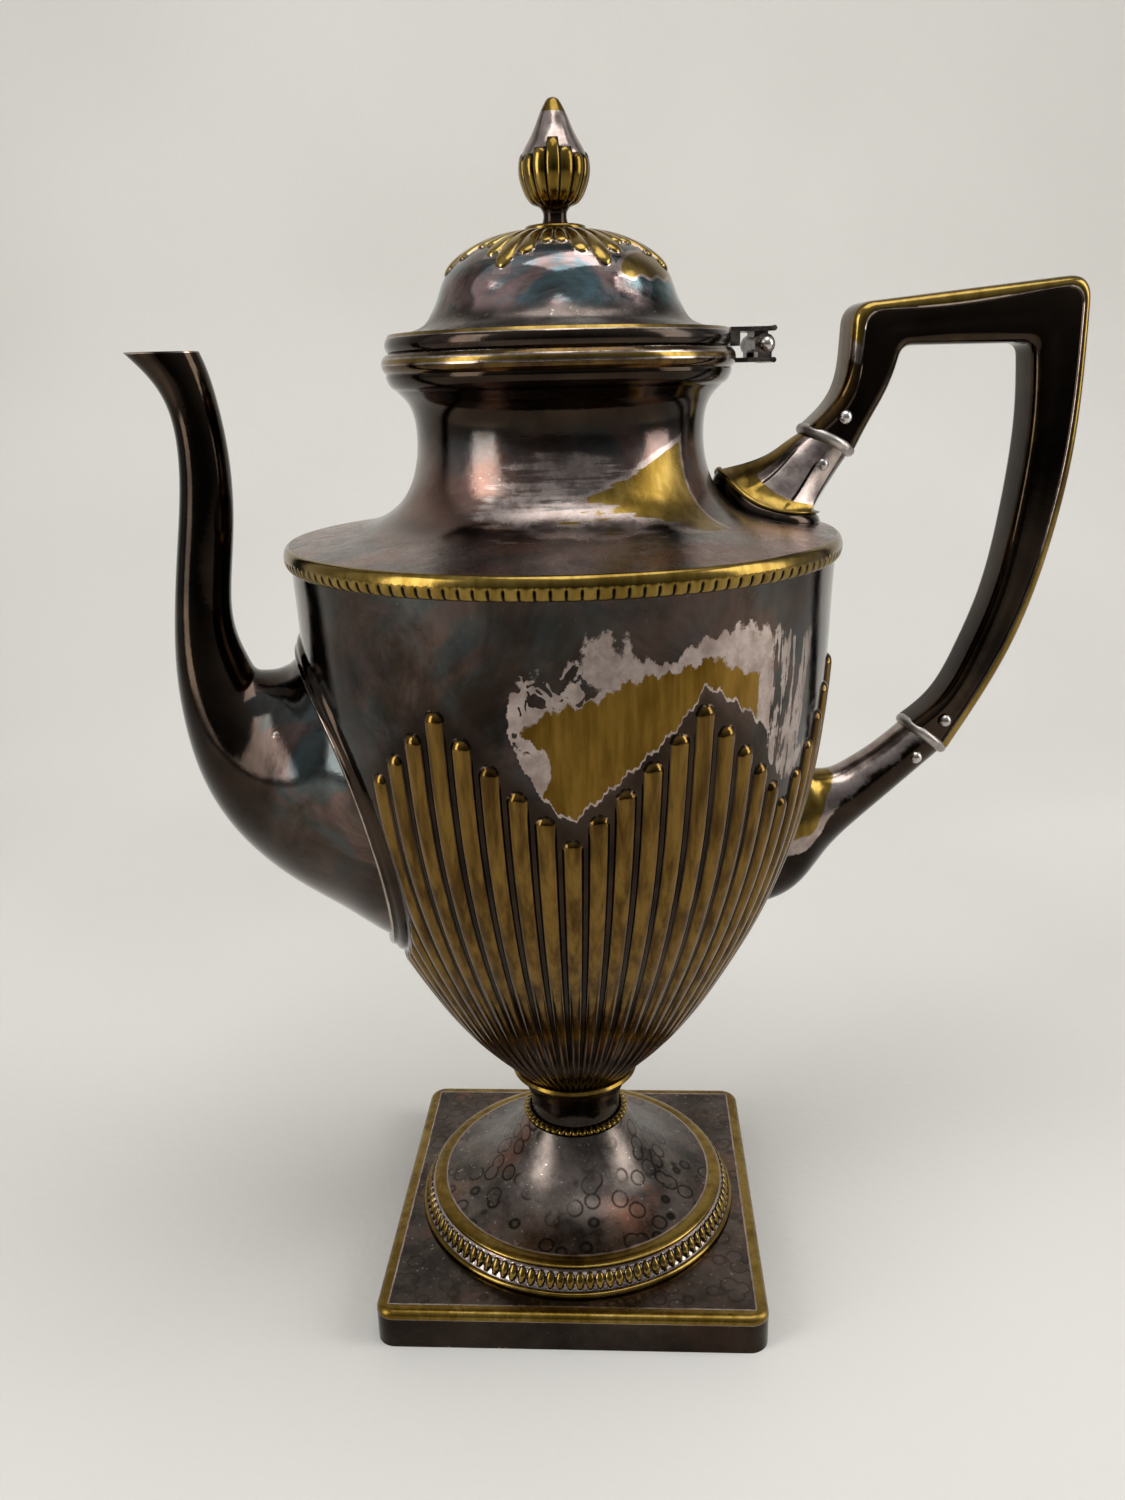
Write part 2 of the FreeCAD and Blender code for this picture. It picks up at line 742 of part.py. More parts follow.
def cut_for_joint(socket, centre, direction):
    socket = socket.cut(tenon_room(centre, direction))
    socket = socket.cut(make_head_seats(centre, direction))
    return socket.cut(Part.makeCompound(make_pin_rods(centre, direction, pin_clearance)))


def make_upper_socket(upper):
    return cut_for_joint(tube(socket_rows(upper_socket_sections, *upper)), *upper)


def make_upper_socket_base(neck):
    """Oval moulding between the socket's foot and the shoulder."""
    outer, inner, half = on_side(upper_socket_sections, 1)[-1]
    foot = Part.Face(closed_section(outer, inner, half, upper_base_margin))
    level = (point(*outer) - point(*inner)).normalize()
    down = FreeCAD.Vector(level.z, 0, -level.x)
    return foot.extrude(down * upper_base_depth).cut(neck)


def make_lower_socket(lower, body):
    return cut_for_joint(tube(socket_rows(lower_socket_sections, *lower)).cut(body), *lower)


def main():
    body = filled(body_outline())
    neck = neck_solid(upper_base_depth)
    upper = joint(upper_joint, upper_joint_slope)
    lower = joint(lower_joint, lower_joint_slope)
    block = frame_block()
    pieces = {
        "plinth": make_plinth(),
        "foot_bead_ring": make_foot_ring(),
        "foot_dome": make_foot_dome(),
        "stem_bead_ring": make_stem_bead_ring(),
        "stem": make_stem(),
        "body_cup": make_body_cup(),
        "body_shell": make_body_shell(),
        "shoulder_band": make_shoulder_band(),
        "shoulder_neck": make_shoulder_neck(),
        "mouth_rim": make_mouth_rim(),
        "lid_flange": make_lid_flange(),
        "lid_bezel": make_lid_bezel(),
        "lid_dome": make_lid_dome(),
        "finial_collar": make_finial_collar(),
        "finial_bud": make_finial_bud(),
        "finial_screw": make_finial_screw(),
        "finial_nut": make_finial_nut(),
        "lid_hinge_leaf": make_lid_hinge_leaf(),
        "body_hinge_leaf": make_body_hinge_leaf(),
        "hinge_pin": make_hinge_pin(),
        "spout": make_spout(body),
        "spout_frame": make_spout_frame(body, block),
        "upper_socket_base": make_upper_socket_base(neck),
        "upper_socket": make_upper_socket(upper),
        "upper_insulator": make_insulator(*upper),
        "upper_pins": make_pins(*upper),
        "handle": make_handle(upper, lower),
        "lower_insulator": make_insulator(*lower),
        "lower_pins": make_pins(*lower),
        "lower_socket": make_lower_socket(lower, body),
    }
    os.makedirs("parts", exist_ok=True)
    for name, shape in pieces.items():
        print(name, len(shape.Solids), "valid" if shape.isValid() else "INVALID", round(shape.Volume, 1))
        shape.exportStep("parts/" + name + ".step")


main()
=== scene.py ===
import math

import bpy
import numpy as np
from mathutils import Matrix, Vector


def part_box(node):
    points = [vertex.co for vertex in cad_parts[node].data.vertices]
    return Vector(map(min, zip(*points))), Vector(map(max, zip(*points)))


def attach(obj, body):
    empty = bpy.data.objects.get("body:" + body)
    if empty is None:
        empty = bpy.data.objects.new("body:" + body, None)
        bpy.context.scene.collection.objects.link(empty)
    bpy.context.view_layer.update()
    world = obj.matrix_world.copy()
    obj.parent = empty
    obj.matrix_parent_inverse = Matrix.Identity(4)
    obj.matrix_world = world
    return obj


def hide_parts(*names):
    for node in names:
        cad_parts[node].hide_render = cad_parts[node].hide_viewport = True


# Looks of a tarnished silver-plated coffee pot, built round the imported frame.
# Sizes are in millimetres until add_piece() turns them into metres.

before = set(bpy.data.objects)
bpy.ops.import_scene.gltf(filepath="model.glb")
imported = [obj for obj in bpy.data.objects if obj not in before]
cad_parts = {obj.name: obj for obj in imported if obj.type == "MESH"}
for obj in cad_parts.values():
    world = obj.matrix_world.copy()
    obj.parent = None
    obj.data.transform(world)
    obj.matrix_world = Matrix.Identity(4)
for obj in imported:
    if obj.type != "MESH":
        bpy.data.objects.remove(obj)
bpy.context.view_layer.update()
MM = 0.001
sharp_angle = 38


def heights(node):
    """Lowest and highest level of a CAD node."""
    low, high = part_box(node)
    return low.z / MM, high.z / MM


def reach(node):
    """Radius of a turned CAD node."""
    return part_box(node)[1].y / MM


# Levels and radii taken from the frame
plinth_top = heights("plinth")[1]
foot_ring_low, foot_ring_high = heights("foot_bead_ring")
foot_low, foot_top = heights("foot_dome")
stem_bead_low, stem_bead_high = heights("stem_bead_ring")
cup_low, cup_high = heights("body_cup")
body_bottom, body_top = heights("body_shell")
band_low, band_high = heights("shoulder_band")
neck_top = heights("shoulder_neck")[1]
rim_low, rim_high = heights("mouth_rim")
flange_low, flange_high = heights("lid_flange")
collar_low, collar_high = heights("finial_collar")
bud_low = heights("finial_bud")[0]
foot_ring_radius = reach("foot_bead_ring")
foot_radius = reach("foot_dome")
stem_bead_radius = reach("stem_bead_ring")
body_radius = reach("body_shell")
band_radius = reach("shoulder_band")
rim_radius = reach("mouth_rim")
flange_radius = reach("lid_flange")
collar_radius = reach("finial_collar")
sheet = 1.2
clearance = 0.05

# Foot
plinth_side = 100.0
plinth_corner = 5.0
plinth_least_corner = 1.0
plinth_edge = 1.8
plinth_wall = 1.8
plinth_turn = -10.0
plinth_worn_edge = 3.0
plinth_worn_fade = 0.8
plinth_side_rows = (0.3, 0.6)
plinth_top_rows = (0.6, 1.4, 2.4, 3.6, 5.0)
plinth_inner_shares = (0.35, 0.7, 1.0)
foot_ring_width = 6.4
foot_ring_lip = 1.5
foot_ring_slope = 3.2
foot_ring_step = 0.9
foot_ring_rows = 22
foot_bead_count = 104
foot_bead_height = 0.8
foot_bead_share = 0.9
foot_bead_groove = 0.25
foot_band_height = 1.0
foot_band_depth = 2.8
foot_neck_step = 1.3
foot_slope_shares = [(0.0, 0.0), (0.34, 0.14), (0.67, 0.41), (0.91, 0.79), (1.0, 1.0)]
foot_hollow_shares = [(0.8, 0.5), (0.4, 0.12)]
stem_radius = 12.9
stem_wall = 3.0
stem_waist = 0.6
stem_bead_count = 44
stem_bead_depth = 0.7
cup_radius = 17.2
cup_bore = 11.75
cup_foot_step = 0.6
cup_waist_step = 1.4
cup_seat_gap = 0.2

# Body: shares of radius and height, from the bottom upwards
body_outline_shares = [
    (0.21, 0.0), (0.243, 0.0193), (0.376, 0.087), (0.525, 0.175), (0.633, 0.257), (0.769, 0.379),
    (0.881, 0.517), (0.937, 0.621), (0.969, 0.724), (0.988, 0.841), (0.993, 0.917), (1.0, 1.0),
]
body_bottom_radius = body_outline_shares[0][0] * body_radius
body_hole = 2.0
flute_count = 70
flutes_per_wave = 10
flute_valley_azimuth = -96.4
flute_valley_top = 143.3
flute_step = 5.5
flute_share = 0.78
flute_height_share = 0.58
flute_head = 2.6
flute_start = 3.6
flute_columns = 12

# Rows of the body's mesh: the stretch of its outline, in shares, and how many rows it has
body_rows = [(0.0, 0.62, 80), (0.62, 0.86, 84), (0.86, 1.0, 22)]
body_steps = 1200

# Shoulder, neck and mouth: radii and heights above the shoulder's edge
band_notch_count = 136
band_notch_depth = 0.55
neck_outline = [
    (57.8, 1.1), (51.4, 2.3), (46.8, 3.5), (43.6, 4.7), (41.1, 6.1), (38.1, 8.7), (35.9, 12.1),
    (34.5, 16.1), (33.8, 20.1), (33.7, 23.6), (34.2, 28.1), (35.5, 31.1), (38.2, 34.1), (39.9, 37.3),
]
rim_width = 2.3
rim_round = 1.0
rim_bulge = 0.25
rim_turn = 0.9
neck_bead_height = 3.4
neck_bead_bulge = 0.5

# Lid: radii and heights above the flange
dome_outline = [
    (37.2, 0.0), (33.2, 0.8), (30.4, 2.3), (28.8, 4.7), (27.5, 7.3), (26.5, 9.9), (25.2, 12.5),
    (22.8, 15.1), (18.6, 17.8), (12.6, 20.0), (6.9, 20.9),
]
petal_count = 35
petals_per_wave = 5
petal_valley_azimuth = -98.4
petal_tip_radii = [19.7, 23.0, 25.4]
petal_height = 0.75
petal_share = 0.92
lid_hole = 1.6

# Finial: radii and heights above the bud's foot
bud_outline = [
    (3.4, 0.0), (3.0, 2.6), (5.4, 5.0), (7.0, 7.6), (7.8, 10.6), (7.8, 12.6), (7.1, 15.2),
    (5.8, 17.5), (4.6, 19.7), (3.5, 22.2), (2.2, 24.7), (1.2, 25.9), (0.4, 26.2),
]
leaf_count = 15
leaves_per_wave = 5
leaf_azimuth = -99.0
leaf_tops = [17.3, 15.2, 14.0]
leaf_start = 3.4
leaf_head = 1.4
leaf_height = 0.5
leaf_share = 0.95
bud_tip_start = 22.6
collar_bore = 1.55
collar_round = 0.8

# Spout and handle: reach beyond the body's radius and rise above its upper edge.
# An oval section has such a place on its outer and inner side, and half its width.
spout_sections = [
    ((-36.0, -104.0), (-22.0, -4.0), 35.5),
    ((-18.9, -97.0), (-7.9, -13.0), 34.6),
    ((-6.6, -88.5), (1.2, -23.7), 27.5),
    ((5.1, -80.7), (4.0, -25.9), 22.5),
    ((13.5, -73.4), (6.6, -26.6), 18.6),
    ((19.4, -66.3), (8.9, -26.6), 15.8),
    ((25.9, -53.2), (11.1, -26.1), 12.8),
    ((29.0, -38.0), (12.5, -23.2), 10.2),
    ((29.5, -24.0), (14.3, -18.0), 8.2),
    ((28.3, -10.8), (15.1, -10.5), 6.7),
    ((25.5, 7.0), (12.9, 7.0), 6.2),
    ((23.4, 26.0), (12.2, 26.0), 5.7),
    ((24.8, 36.3), (13.5, 37.0), 5.7),
    ((28.2, 42.4), (15.6, 45.6), 5.9),
    ((32.9, 47.5), (19.4, 53.5), 5.8),
]
spout_lip_rise = 47.3
spout_wall = 1.0
frame_width = 4.0
grip_radius = 6.4
grip_depth = 6.1
grip_rounding = 2.6
grip_groove = 0.3
handle_left_outer = [(1.6, 34.6), (3.4, 40.0), (3.9, 45.4), (4.3, 54.8)]
handle_right_outer = [(62.6, 60.6), (63.1, 41.3), (62.5, 20.0), (58.9, -3.0), (50.6, -29.4), (43.9, -42.3)]
handle_left_inner = [(10.0, 28.8), (13.0, 34.2), (15.2, 39.6), (16.7, 45.2)]
handle_right_inner = [(49.2, 45.2), (50.3, 30.4), (48.8, 7.1), (44.2, -17.1), (39.4, -29.8), (32.0, -42.7)]
outer_corner = 5.5
inner_corner = 3.5
insulator_thickness = 1.7
insulator_overhang = 1.3
insulator_round = 1.35
upper_joint = (0.2, 23.8)
upper_joint_slope = 63.5
lower_joint = (30.0, -52.6)
lower_joint_slope = 52.5
upper_socket_sections = [
    ((2.7, 15.8), (-9.2, 24.0), 6.9),
    ((-0.9, 9.9), (-15.2, 20.4), 8.9),
    ((-2.4, 6.6), (-26.2, 17.6), 12.2),
]
socket_facets = 8
socket_flatness = 0.9
socket_roll = 0.8
socket_worn_from = 0.62
socket_base_height = 2.2
socket_base_sink = 0.4
lower_socket_sections = [
    ((25.5, -64.8), (16.5, -55.4), 6.5),
    ((18.1, -71.0), (11.1, -58.6), 6.8),
    ((10.6, -77.2), (5.6, -61.0), 7.6),
    ((4.1, -83.6), (1.1, -60.8), 8.8),
    ((-4.1, -93.4), (-1.4, -59.4), 10.5),
    ((-20.9, -98.5), (-12.9, -56.0), 11.5),
]

# Section of the upper socket's base: place outwards from the socket's rim, and share of the way up to it
socket_base_section = [(-2.0, 0.0), (1.2, 0.0), (1.4, 0.35), (0.9, 0.75), (0.0, 1.0), (-2.0, 1.0)]

# Section of the moulding round the spout: place outwards from the spout, height above the body, and wear
frame_section = [
    (-0.4, -0.8, -0.5), (-0.4, 1.5, 0.9), (0.1, 1.8, 1.4), (0.9, 1.75, 0.6), (1.5, 1.2, -0.5),
    (2.0, 1.05, -0.5), (2.8, 1.0, -0.3), (3.5, 0.6, -0.4), (4.0, 0.0, -0.5), (4.0, -0.8, -0.5),
]

# Wear: tarnish is left below silver_start, silver shows from there, and brass from brass_start
wear_fields = ("crest", "wear_and_reflection", "dust", "bloom", "streak", "grime", "pits")
silver_start = 0.42
brass_start = 0.95
all_tarnish = -0.5
all_silver = 0.66
all_brass = 1.4
bead_brass = 1.3
wear_range = (-1, 2)

# Worn patch on the body's front: azimuth, margin above the flutes, and levels where brass and silver end.
# A copy of it behind is mirrored, turned and dropped.
body_patch = [
    (-109, 12.0, 150, 161), (-107, 10.0, 163, 176), (-105, 6.0, 167, 180), (-101, 3.2, 171, 180),
    (-98, 3.6, 172, 180), (-95, 4.0, 173, 183), (-90, 3.2, 175, 188), (-86, 2.8, 177, 187),
    (-83, 2.4, 178, 182), (-78, 1.9, 178, 180), (-75, 1.9, 179, 183), (-70, 4.2, 180, 186),
    (-63, 6.6, 177, 187), (-57, 8.0, 175, 186), (-53, 9.0, 160, 183),
]
body_patch_drop = 6.0
body_patch_turn = 10.0
pale_corner_place = (-105.0, 159.0)
pale_corner_size = (6.0, 8.0)
pits_place = (-101.0, 172.0)
pits_size = (15.0, 12.0)
streak_sides = (-57, -52, -44, -32)
streak_top = (178, 188)

# Wear on the neck, a wedge of brass and two smears of silver: azimuths, and heights above the shoulder's edge
wedge_tip = (-92.0, 11.0)
wedge_end = -46.0
wedge_rise = 0.24
wedge_fall = 0.19
neck_smear_place = (-94.0, 9.5)
neck_smear_size = (34.0, 11.5)
rear_smear_place = (100.0, 10.0)
rear_smear_size = (36.0, 10.0)

# Wear on the lid: azimuths and heights above the flange, and the levels between which its bloom ends
lid_patch_place = (-42.0, 11.2)
lid_patch_size = (26.0, 4.8)
lid_patch_low = 9.6
lid_bloom_top = (260, 264)

# Colours: base colours of the metal and of what lies on it
tarnish_deep = (0.012, 0.009, 0.007)
tarnish_brown = (0.050, 0.034, 0.023)
dust_dark = (0.050, 0.042, 0.037)
dust_pale = (0.19, 0.155, 0.135)
silver_warm = (0.24, 0.185, 0.165)
silver_pale = (0.43, 0.36, 0.325)
brass_deep = (0.13, 0.078, 0.012)
brass_light = (0.26, 0.172, 0.042)
crest_deep = (0.055, 0.029, 0.008)
crest_light = (0.185, 0.107, 0.025)
bloom_teal = (0.16, 0.26, 0.29)
bloom_rose = (0.42, 0.29, 0.27)
copper = (0.30, 0.13, 0.08)
speck_white = (0.50, 0.47, 0.44)
brown_brass = ((0.085, 0.045, 0.006), (0.20, 0.115, 0.022))
bright_brass = (brass_deep, brass_light)
petal_brass = ((0.22, 0.14, 0.03), (0.42, 0.30, 0.085))
dark_dust = (dust_dark, dust_pale)
grey_dust = ((0.10, 0.082, 0.074), (0.31, 0.265, 0.245))
nickel_tones = ((0.32, 0.29, 0.27), (0.66, 0.62, 0.58))
hinge_tones = ((0.05, 0.04, 0.035), (0.36, 0.31, 0.27))
screw_tones = ((0.16, 0.10, 0.03), (0.42, 0.28, 0.09))
fibre_tones = ((0.24, 0.21, 0.19), (0.50, 0.46, 0.42))

# Stage and light, in metres and watts
floor_front = -1.6
floor_side = 2.4
wall_place = 0.62
wall_bend = 0.3
wall_height = 2.2
plaster_deep = (0.66, 0.64, 0.60)
plaster_light = (0.72, 0.70, 0.66)
lamp_target = (0.0, 0.0, 0.15)
lamp_power = 4.5
studio_lamps = [
    ("left_window", (-0.85, -0.35, 0.45), (0.35, 0.8), (1.0, 0.99, 0.97)),
    ("right_window", (0.85, -0.25, 0.5), (0.4, 0.8), (1.0, 0.99, 0.97)),
    ("overhead", (0.1, -0.15, 1.15), (0.8, 0.6), (1.0, 1.0, 1.0)),
]
sky_ramp = {"From Min": -1.0, "From Max": 0.6, "To Min": 0.06, "To Max": 0.6}
sky_colour = (0.95, 0.97, 1.0, 1.0)

# Camera
camera_place = (-35.36, -287.0, 235.25)
camera_yaw = 6.771
camera_pitch = 17.566
camera_roll = 1.408
camera_lens = 28.32
camera_sensor = 36.0


# Curves and grids

def spline(points, steps):
    """A smooth curve through the points, sampled evenly along its chords."""
    knots = np.array(points, float)
    chords = np.linalg.norm(np.diff(knots, axis=0), axis=1)
    places = np.concatenate(([0.0], np.cumsum(chords)))
    count = len(knots)
    system = np.eye(count)
    bends = np.zeros_like(knots)
    for i in range(1, count - 1):
        system[i, i - 1] = chords[i - 1]
        system[i, i] = 2 * (chords[i - 1] + chords[i])
        system[i, i + 1] = chords[i]
        ahead = (knots[i + 1] - knots[i]) / chords[i]
        behind = (knots[i] - knots[i - 1]) / chords[i - 1]
        bends[i] = 6 * (ahead - behind)
    curvature = np.linalg.solve(system, bends)
    wanted = np.linspace(0, places[-1], steps)
    piece = np.clip(np.searchsorted(places, wanted) - 1, 0, count - 2)
    width = chords[piece][:, None]
    after = (wanted - places[piece])[:, None] / width
    before = 1 - after
    bend = (before ** 3 - before) * curvature[piece] + (after ** 3 - after) * curvature[piece + 1]
    return before * knots[piece] + after * knots[piece + 1] + bend * width ** 2 / 6


def along(points, distances):
    """Points at the given distances along a line of points."""
    points = np.asarray(points, float)
    lengths = np.linalg.norm(np.diff(points, axis=0), axis=1)
    places = np.concatenate(([0.0], np.cumsum(lengths)))
    return np.stack([np.interp(distances, places, points[:, k]) for k in range(points.shape[1])], axis=1)


def line_length(points):
    """Length of a line of points."""
    return float(np.linalg.norm(np.diff(np.asarray(points, float), axis=0), axis=1).sum())


def arc_points(centre, radius, start, end, steps):
    """Points on a circle between two angles in degrees."""
    angles = np.radians(np.linspace(start, end, steps))
    return [(centre[0] + radius * math.cos(t), centre[1] + radius * math.sin(t)) for t in angles]


def grid_faces(rows, columns, closed_rows):
    """Quads of a grid whose columns run round and close on themselves."""
    row = np.arange(rows if closed_rows else rows - 1)[:, None]
    column = np.arange(columns)[None, :]
    next_row = (row + 1) % rows
    next_column = (column + 1) % columns
    corners = [row * columns + column, row * columns + next_column,
               next_row * columns + next_column, next_row * columns + column]
    return np.stack(corners, axis=-1).reshape(-1, 4).tolist()


def fade(value, low, high):
    """Smooth step from 0 to 1."""
    share = np.clip((value - low) / (high - low), 0, 1)
    return share * share * (3 - 2 * share)


def between(value, start, full, ending, end):
    """Smooth rise from 0 to 1, and back to 0."""
    return fade(value, start, full) * (1 - fade(value, ending, end))


def round_bump(*shares):
    """Height of a round bump: 1 in its middle, and 0 from its edge outwards."""
    return np.sqrt(np.clip(1 - sum(share ** 2 for share in shares), 0, None))


def beyond(value, start, length):
    """How far a value lies beyond a start, as a share of a length."""
    return np.clip((value - start) / length, 0, None)


def zigzag(step, count):
    """Steps away from the nearest valley of a zigzag that repeats after count steps."""
    step = np.mod(step, count)
    return np.minimum(step, count - step)


def turns(columns):
    """Angles of the columns round a full turn."""
    return np.linspace(0, 2 * math.pi, columns, endpoint=False)[None, :]


def banded(values, shape, first=0, elsewhere=0.0):
    """Values on a band of a grid's rows, and one other value on all the rest."""
    grid = np.full(shape, elsewhere)
    grid[first:first + len(values)] = values
    return grid


def half_round(inner, outer, low, high, rows):
    """Section of a half-round wire, from its lower to its upper edge."""
    swing = np.linspace(-math.pi / 2, math.pi / 2, rows)
    level = (low + high) / 2 + (high - low) / 2 * np.sin(swing)
    return np.stack([inner + (outer - inner) * np.cos(swing), level], axis=1)


def level_ring(outline, level):
    """A flat outline set at a height."""
    return np.column_stack([outline, np.full(len(outline), level)])


def blob(azimuth, level, centre, size):
    """1 at the centre of an oval on the pot's side, 0 at its edge and less outside."""
    return 1 - np.hypot((azimuth - centre[0]) / size[0], (level - centre[1]) / size[1])


# Mesh pieces

def add_piece(node, points, material, fields, capped=False, body="pot"):
    """The piece that stands for a CAD node: rings of points, looped on themselves or capped at both ends.
    Its wear and dirt, and on the spout a painted reflection, are written on its points."""
    rows, columns = points.shape[:2]
    faces = grid_faces(rows, columns, not capped)
    if capped:
        faces.append(list(range(columns - 1, -1, -1)))
        faces.append(list(range((rows - 1) * columns, rows * columns)))
    name = node + "_look"
    mesh = bpy.data.meshes.new(name)
    mesh.from_pydata((points.reshape(-1, 3) * MM).tolist(), [], faces)
    for field in wear_fields:
        layer = mesh.attributes.new(field, "FLOAT", "POINT")
        values = np.broadcast_to(fields.get(field, 0.0), (rows, columns))
        layer.data.foreach_set("value", np.ascontiguousarray(values, np.float32).ravel())
    mesh.shade_smooth()
    mesh.set_sharp_from_angle(angle=math.radians(sharp_angle))
    mesh.materials.append(material)
    piece = bpy.data.objects.new(name, mesh)
    bpy.context.scene.collection.objects.link(piece)
    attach(piece, body)
    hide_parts(node)


def turned(node, profile, columns, material, fields, body="pot", offset=0.0, capped=False):
    """A piece turned about the pot's axis, with relief raised square to its outline."""
    profile = np.asarray(profile, float)
    tangent = np.roll(profile, -1, axis=0) - np.roll(profile, 1, axis=0)
    if capped:
        tangent = np.gradient(profile, axis=0)
    normal = np.stack([tangent[:, 1], -tangent[:, 0]], axis=1)
    normal /= np.maximum(np.linalg.norm(normal, axis=1), 1e-9)[:, None]
    offset = np.broadcast_to(offset, (len(profile), columns))
    turn = turns(columns)
    radius = profile[:, 0:1] + normal[:, 0:1] * offset
    level = profile[:, 1:2] + normal[:, 1:2] * offset
    points = np.stack([radius * np.cos(turn), radius * np.sin(turn), level], axis=-1)
    add_piece(node, points, material, fields, capped, body)


def azimuths(columns):
    """Azimuth of each column in degrees, from -180 to 180; the front is at -90."""
    turn = np.linspace(0, 360, columns, endpoint=False)
    return ((turn + 180) % 360 - 180)[None, :]


def repeat_share(azimuth, start, count, share):
    """Number of the nearest repeat, and place across it from -1 to 1."""
    pitch = 360 / count
    number = np.round((azimuth - start) / pitch)
    across = (azimuth - start - number * pitch) / (pitch / 2 * share)
    return number, across


# Foot

def rounded_square(half, corner, steps=14):
    """Outline of a square with round corners, starting on its +X side."""
    points = []
    for quarter in range(4):
        turn = math.radians(90 * quarter)
        straight = [(half, y) for y in np.linspace(-(half - corner), half - corner, steps)]
        bend = arc_points((half - corner, half - corner), corner, 0, 90, steps)[1:-1]
        for x, y in straight + bend:
            points.append((x * math.cos(turn) - y * math.sin(turn), x * math.sin(turn) + y * math.cos(turn)))
    return np.array(points)


def make_plinth(material):
    """Square base with a rounded upper edge, open below."""
    half = plinth_side / 2
    under = plinth_top - plinth_wall
    lowest, below_edge = plinth_side_rows
    rows = [(0.0, 0.0), (0.0, lowest), (0.0, plinth_top - plinth_edge - below_edge)]
    rows += arc_points((plinth_edge, plinth_top - plinth_edge), plinth_edge, 180, 90, 7)
    rows += [(plinth_edge + step, plinth_top) for step in plinth_top_rows]
    rings = []
    for inset, level in rows:
        corner = max(plinth_corner - inset, plinth_least_corner)
        rings.append(level_ring(rounded_square(half - inset, corner), level))
    flat = rings[-1][:, :2]
    circle = flat / np.linalg.norm(flat, axis=1)[:, None] * (foot_ring_radius - foot_ring_width)
    for share in plinth_inner_shares:
        rings.append(level_ring(flat * (1 - share) + circle * share, plinth_top))
    rings.append(level_ring(circle, under))
    inner = rounded_square(half - plinth_wall, plinth_corner - plinth_wall)
    rings += [level_ring(inner, level) for level in (under, 0.0)]
    points = np.array(rings)
    from_edge = half - np.abs(points[..., :2]).max(axis=-1)
    on_top = points[..., 2] > plinth_top - plinth_edge - 0.1
    wear_and_reflection = np.where(on_top, 1 + (plinth_worn_edge - from_edge) / plinth_worn_fade, -1.0)
    wear_and_reflection = np.where(points[..., 2] < 0.5, 0.4, wear_and_reflection)
    turn = math.radians(plinth_turn)
    spin = np.array([[math.cos(turn), math.sin(turn)], [-math.sin(turn), math.cos(turn)]])
    points[..., :2] = points[..., :2] @ spin
    fields = {"wear_and_reflection": np.clip(wear_and_reflection, *wear_range), "dust": np.where(on_top, 0.55, 0.1)}
    add_piece("plinth", points, material, fields)


def make_foot_ring(material):
    """Flat lip, then a sloping face with a row of upright oval beads."""
    inner = foot_ring_radius - foot_ring_width
    lip = foot_ring_lip / 2
    share = np.linspace(0, 1, foot_ring_rows)[:, None]
    start = np.array((foot_ring_radius - foot_ring_step, foot_ring_low + foot_ring_lip))
    end = np.array((foot_ring_radius - foot_ring_slope, foot_ring_high))
    edge = arc_points((foot_ring_radius - lip, foot_ring_low + lip), lip, -90, 90, 9)
    profile = [(inner, foot_ring_low)] + edge + list(start + (end - start) * share)
    profile += [(end[0] - 0.6, foot_ring_high), (inner, foot_ring_high)]
    first = 1 + len(edge)
    columns = foot_bead_count * 10
    shape = (len(profile), columns)
    across = repeat_share(azimuths(columns), 0.0, foot_bead_count, foot_bead_share)[1]
    upright = (share - 0.5) / 0.4
    away = np.hypot(across, upright)
    groove = foot_bead_groove * fade(1 - np.abs(upright), 0, 0.4)
    relief = banded(round_bump(away) * foot_bead_height - groove, shape, first)
    wear_and_reflection = banded(np.where(away < 0.9, bead_brass, all_silver), shape, first, all_brass)
    grime = banded(fade(0.22 - np.abs(away - 0.95), 0, 0.2), shape, first)
    grime[first] = 1.0
    turned("foot_bead_ring", profile, columns, material, {"wear_and_reflection": wear_and_reflection, "grime": grime}, offset=relief)


def make_foot_dome(material):
    """Low worn band at the edge, then a trumpet that rises to the stem."""
    band_top = foot_low + foot_band_height
    shelf = foot_radius - foot_band_depth
    neck = stem_radius + foot_neck_step
    rise = foot_top - band_top
    width = shelf - neck
    bulge = spline([(foot_radius - 0.3, foot_low), (foot_radius, foot_low + 0.3 * foot_band_height),
                    (foot_radius - 0.2 * foot_band_depth, foot_low + 0.72 * foot_band_height),
                    (shelf, band_top)], 16)
    slope = spline([(shelf - away * width, band_top + up * rise) for away, up in foot_slope_shares], 60)
    hollow = [(shelf - away * width, band_top + up * rise - sheet) for away, up in foot_hollow_shares]
    inner = [(neck - 2 * sheet, foot_top)] + hollow + [(shelf - sheet, foot_low)]
    profile = np.concatenate([bulge, slope[1:], inner])
    radius = profile[:, 0:1]
    wear_and_reflection = np.where(radius > shelf - 1.4, 1 + (radius - shelf + 0.5) / 0.8, -1.0)
    dust = np.where(profile[:, 1:2] > band_top, 1.0, 0.3)
    turned("foot_dome", profile, 192, material, {"wear_and_reflection": np.clip(wear_and_reflection, *wear_range), "dust": dust})


def make_stem(material):
    """Waisted neck between the foot and the body, stepped to fit the cup."""
    inner = stem_radius - stem_wall
    step = cup_bore - clearance
    waist = spline([(stem_radius, foot_top), (stem_radius - stem_waist, (foot_top + cup_low) / 2),
                    (stem_radius, cup_low)], 24)
    profile = list(waist) + [(step, cup_low), (step, body_bottom), (inner, body_bottom), (inner, foot_top)]
    turned("stem", profile, 128, material, {"dust": 0.15})


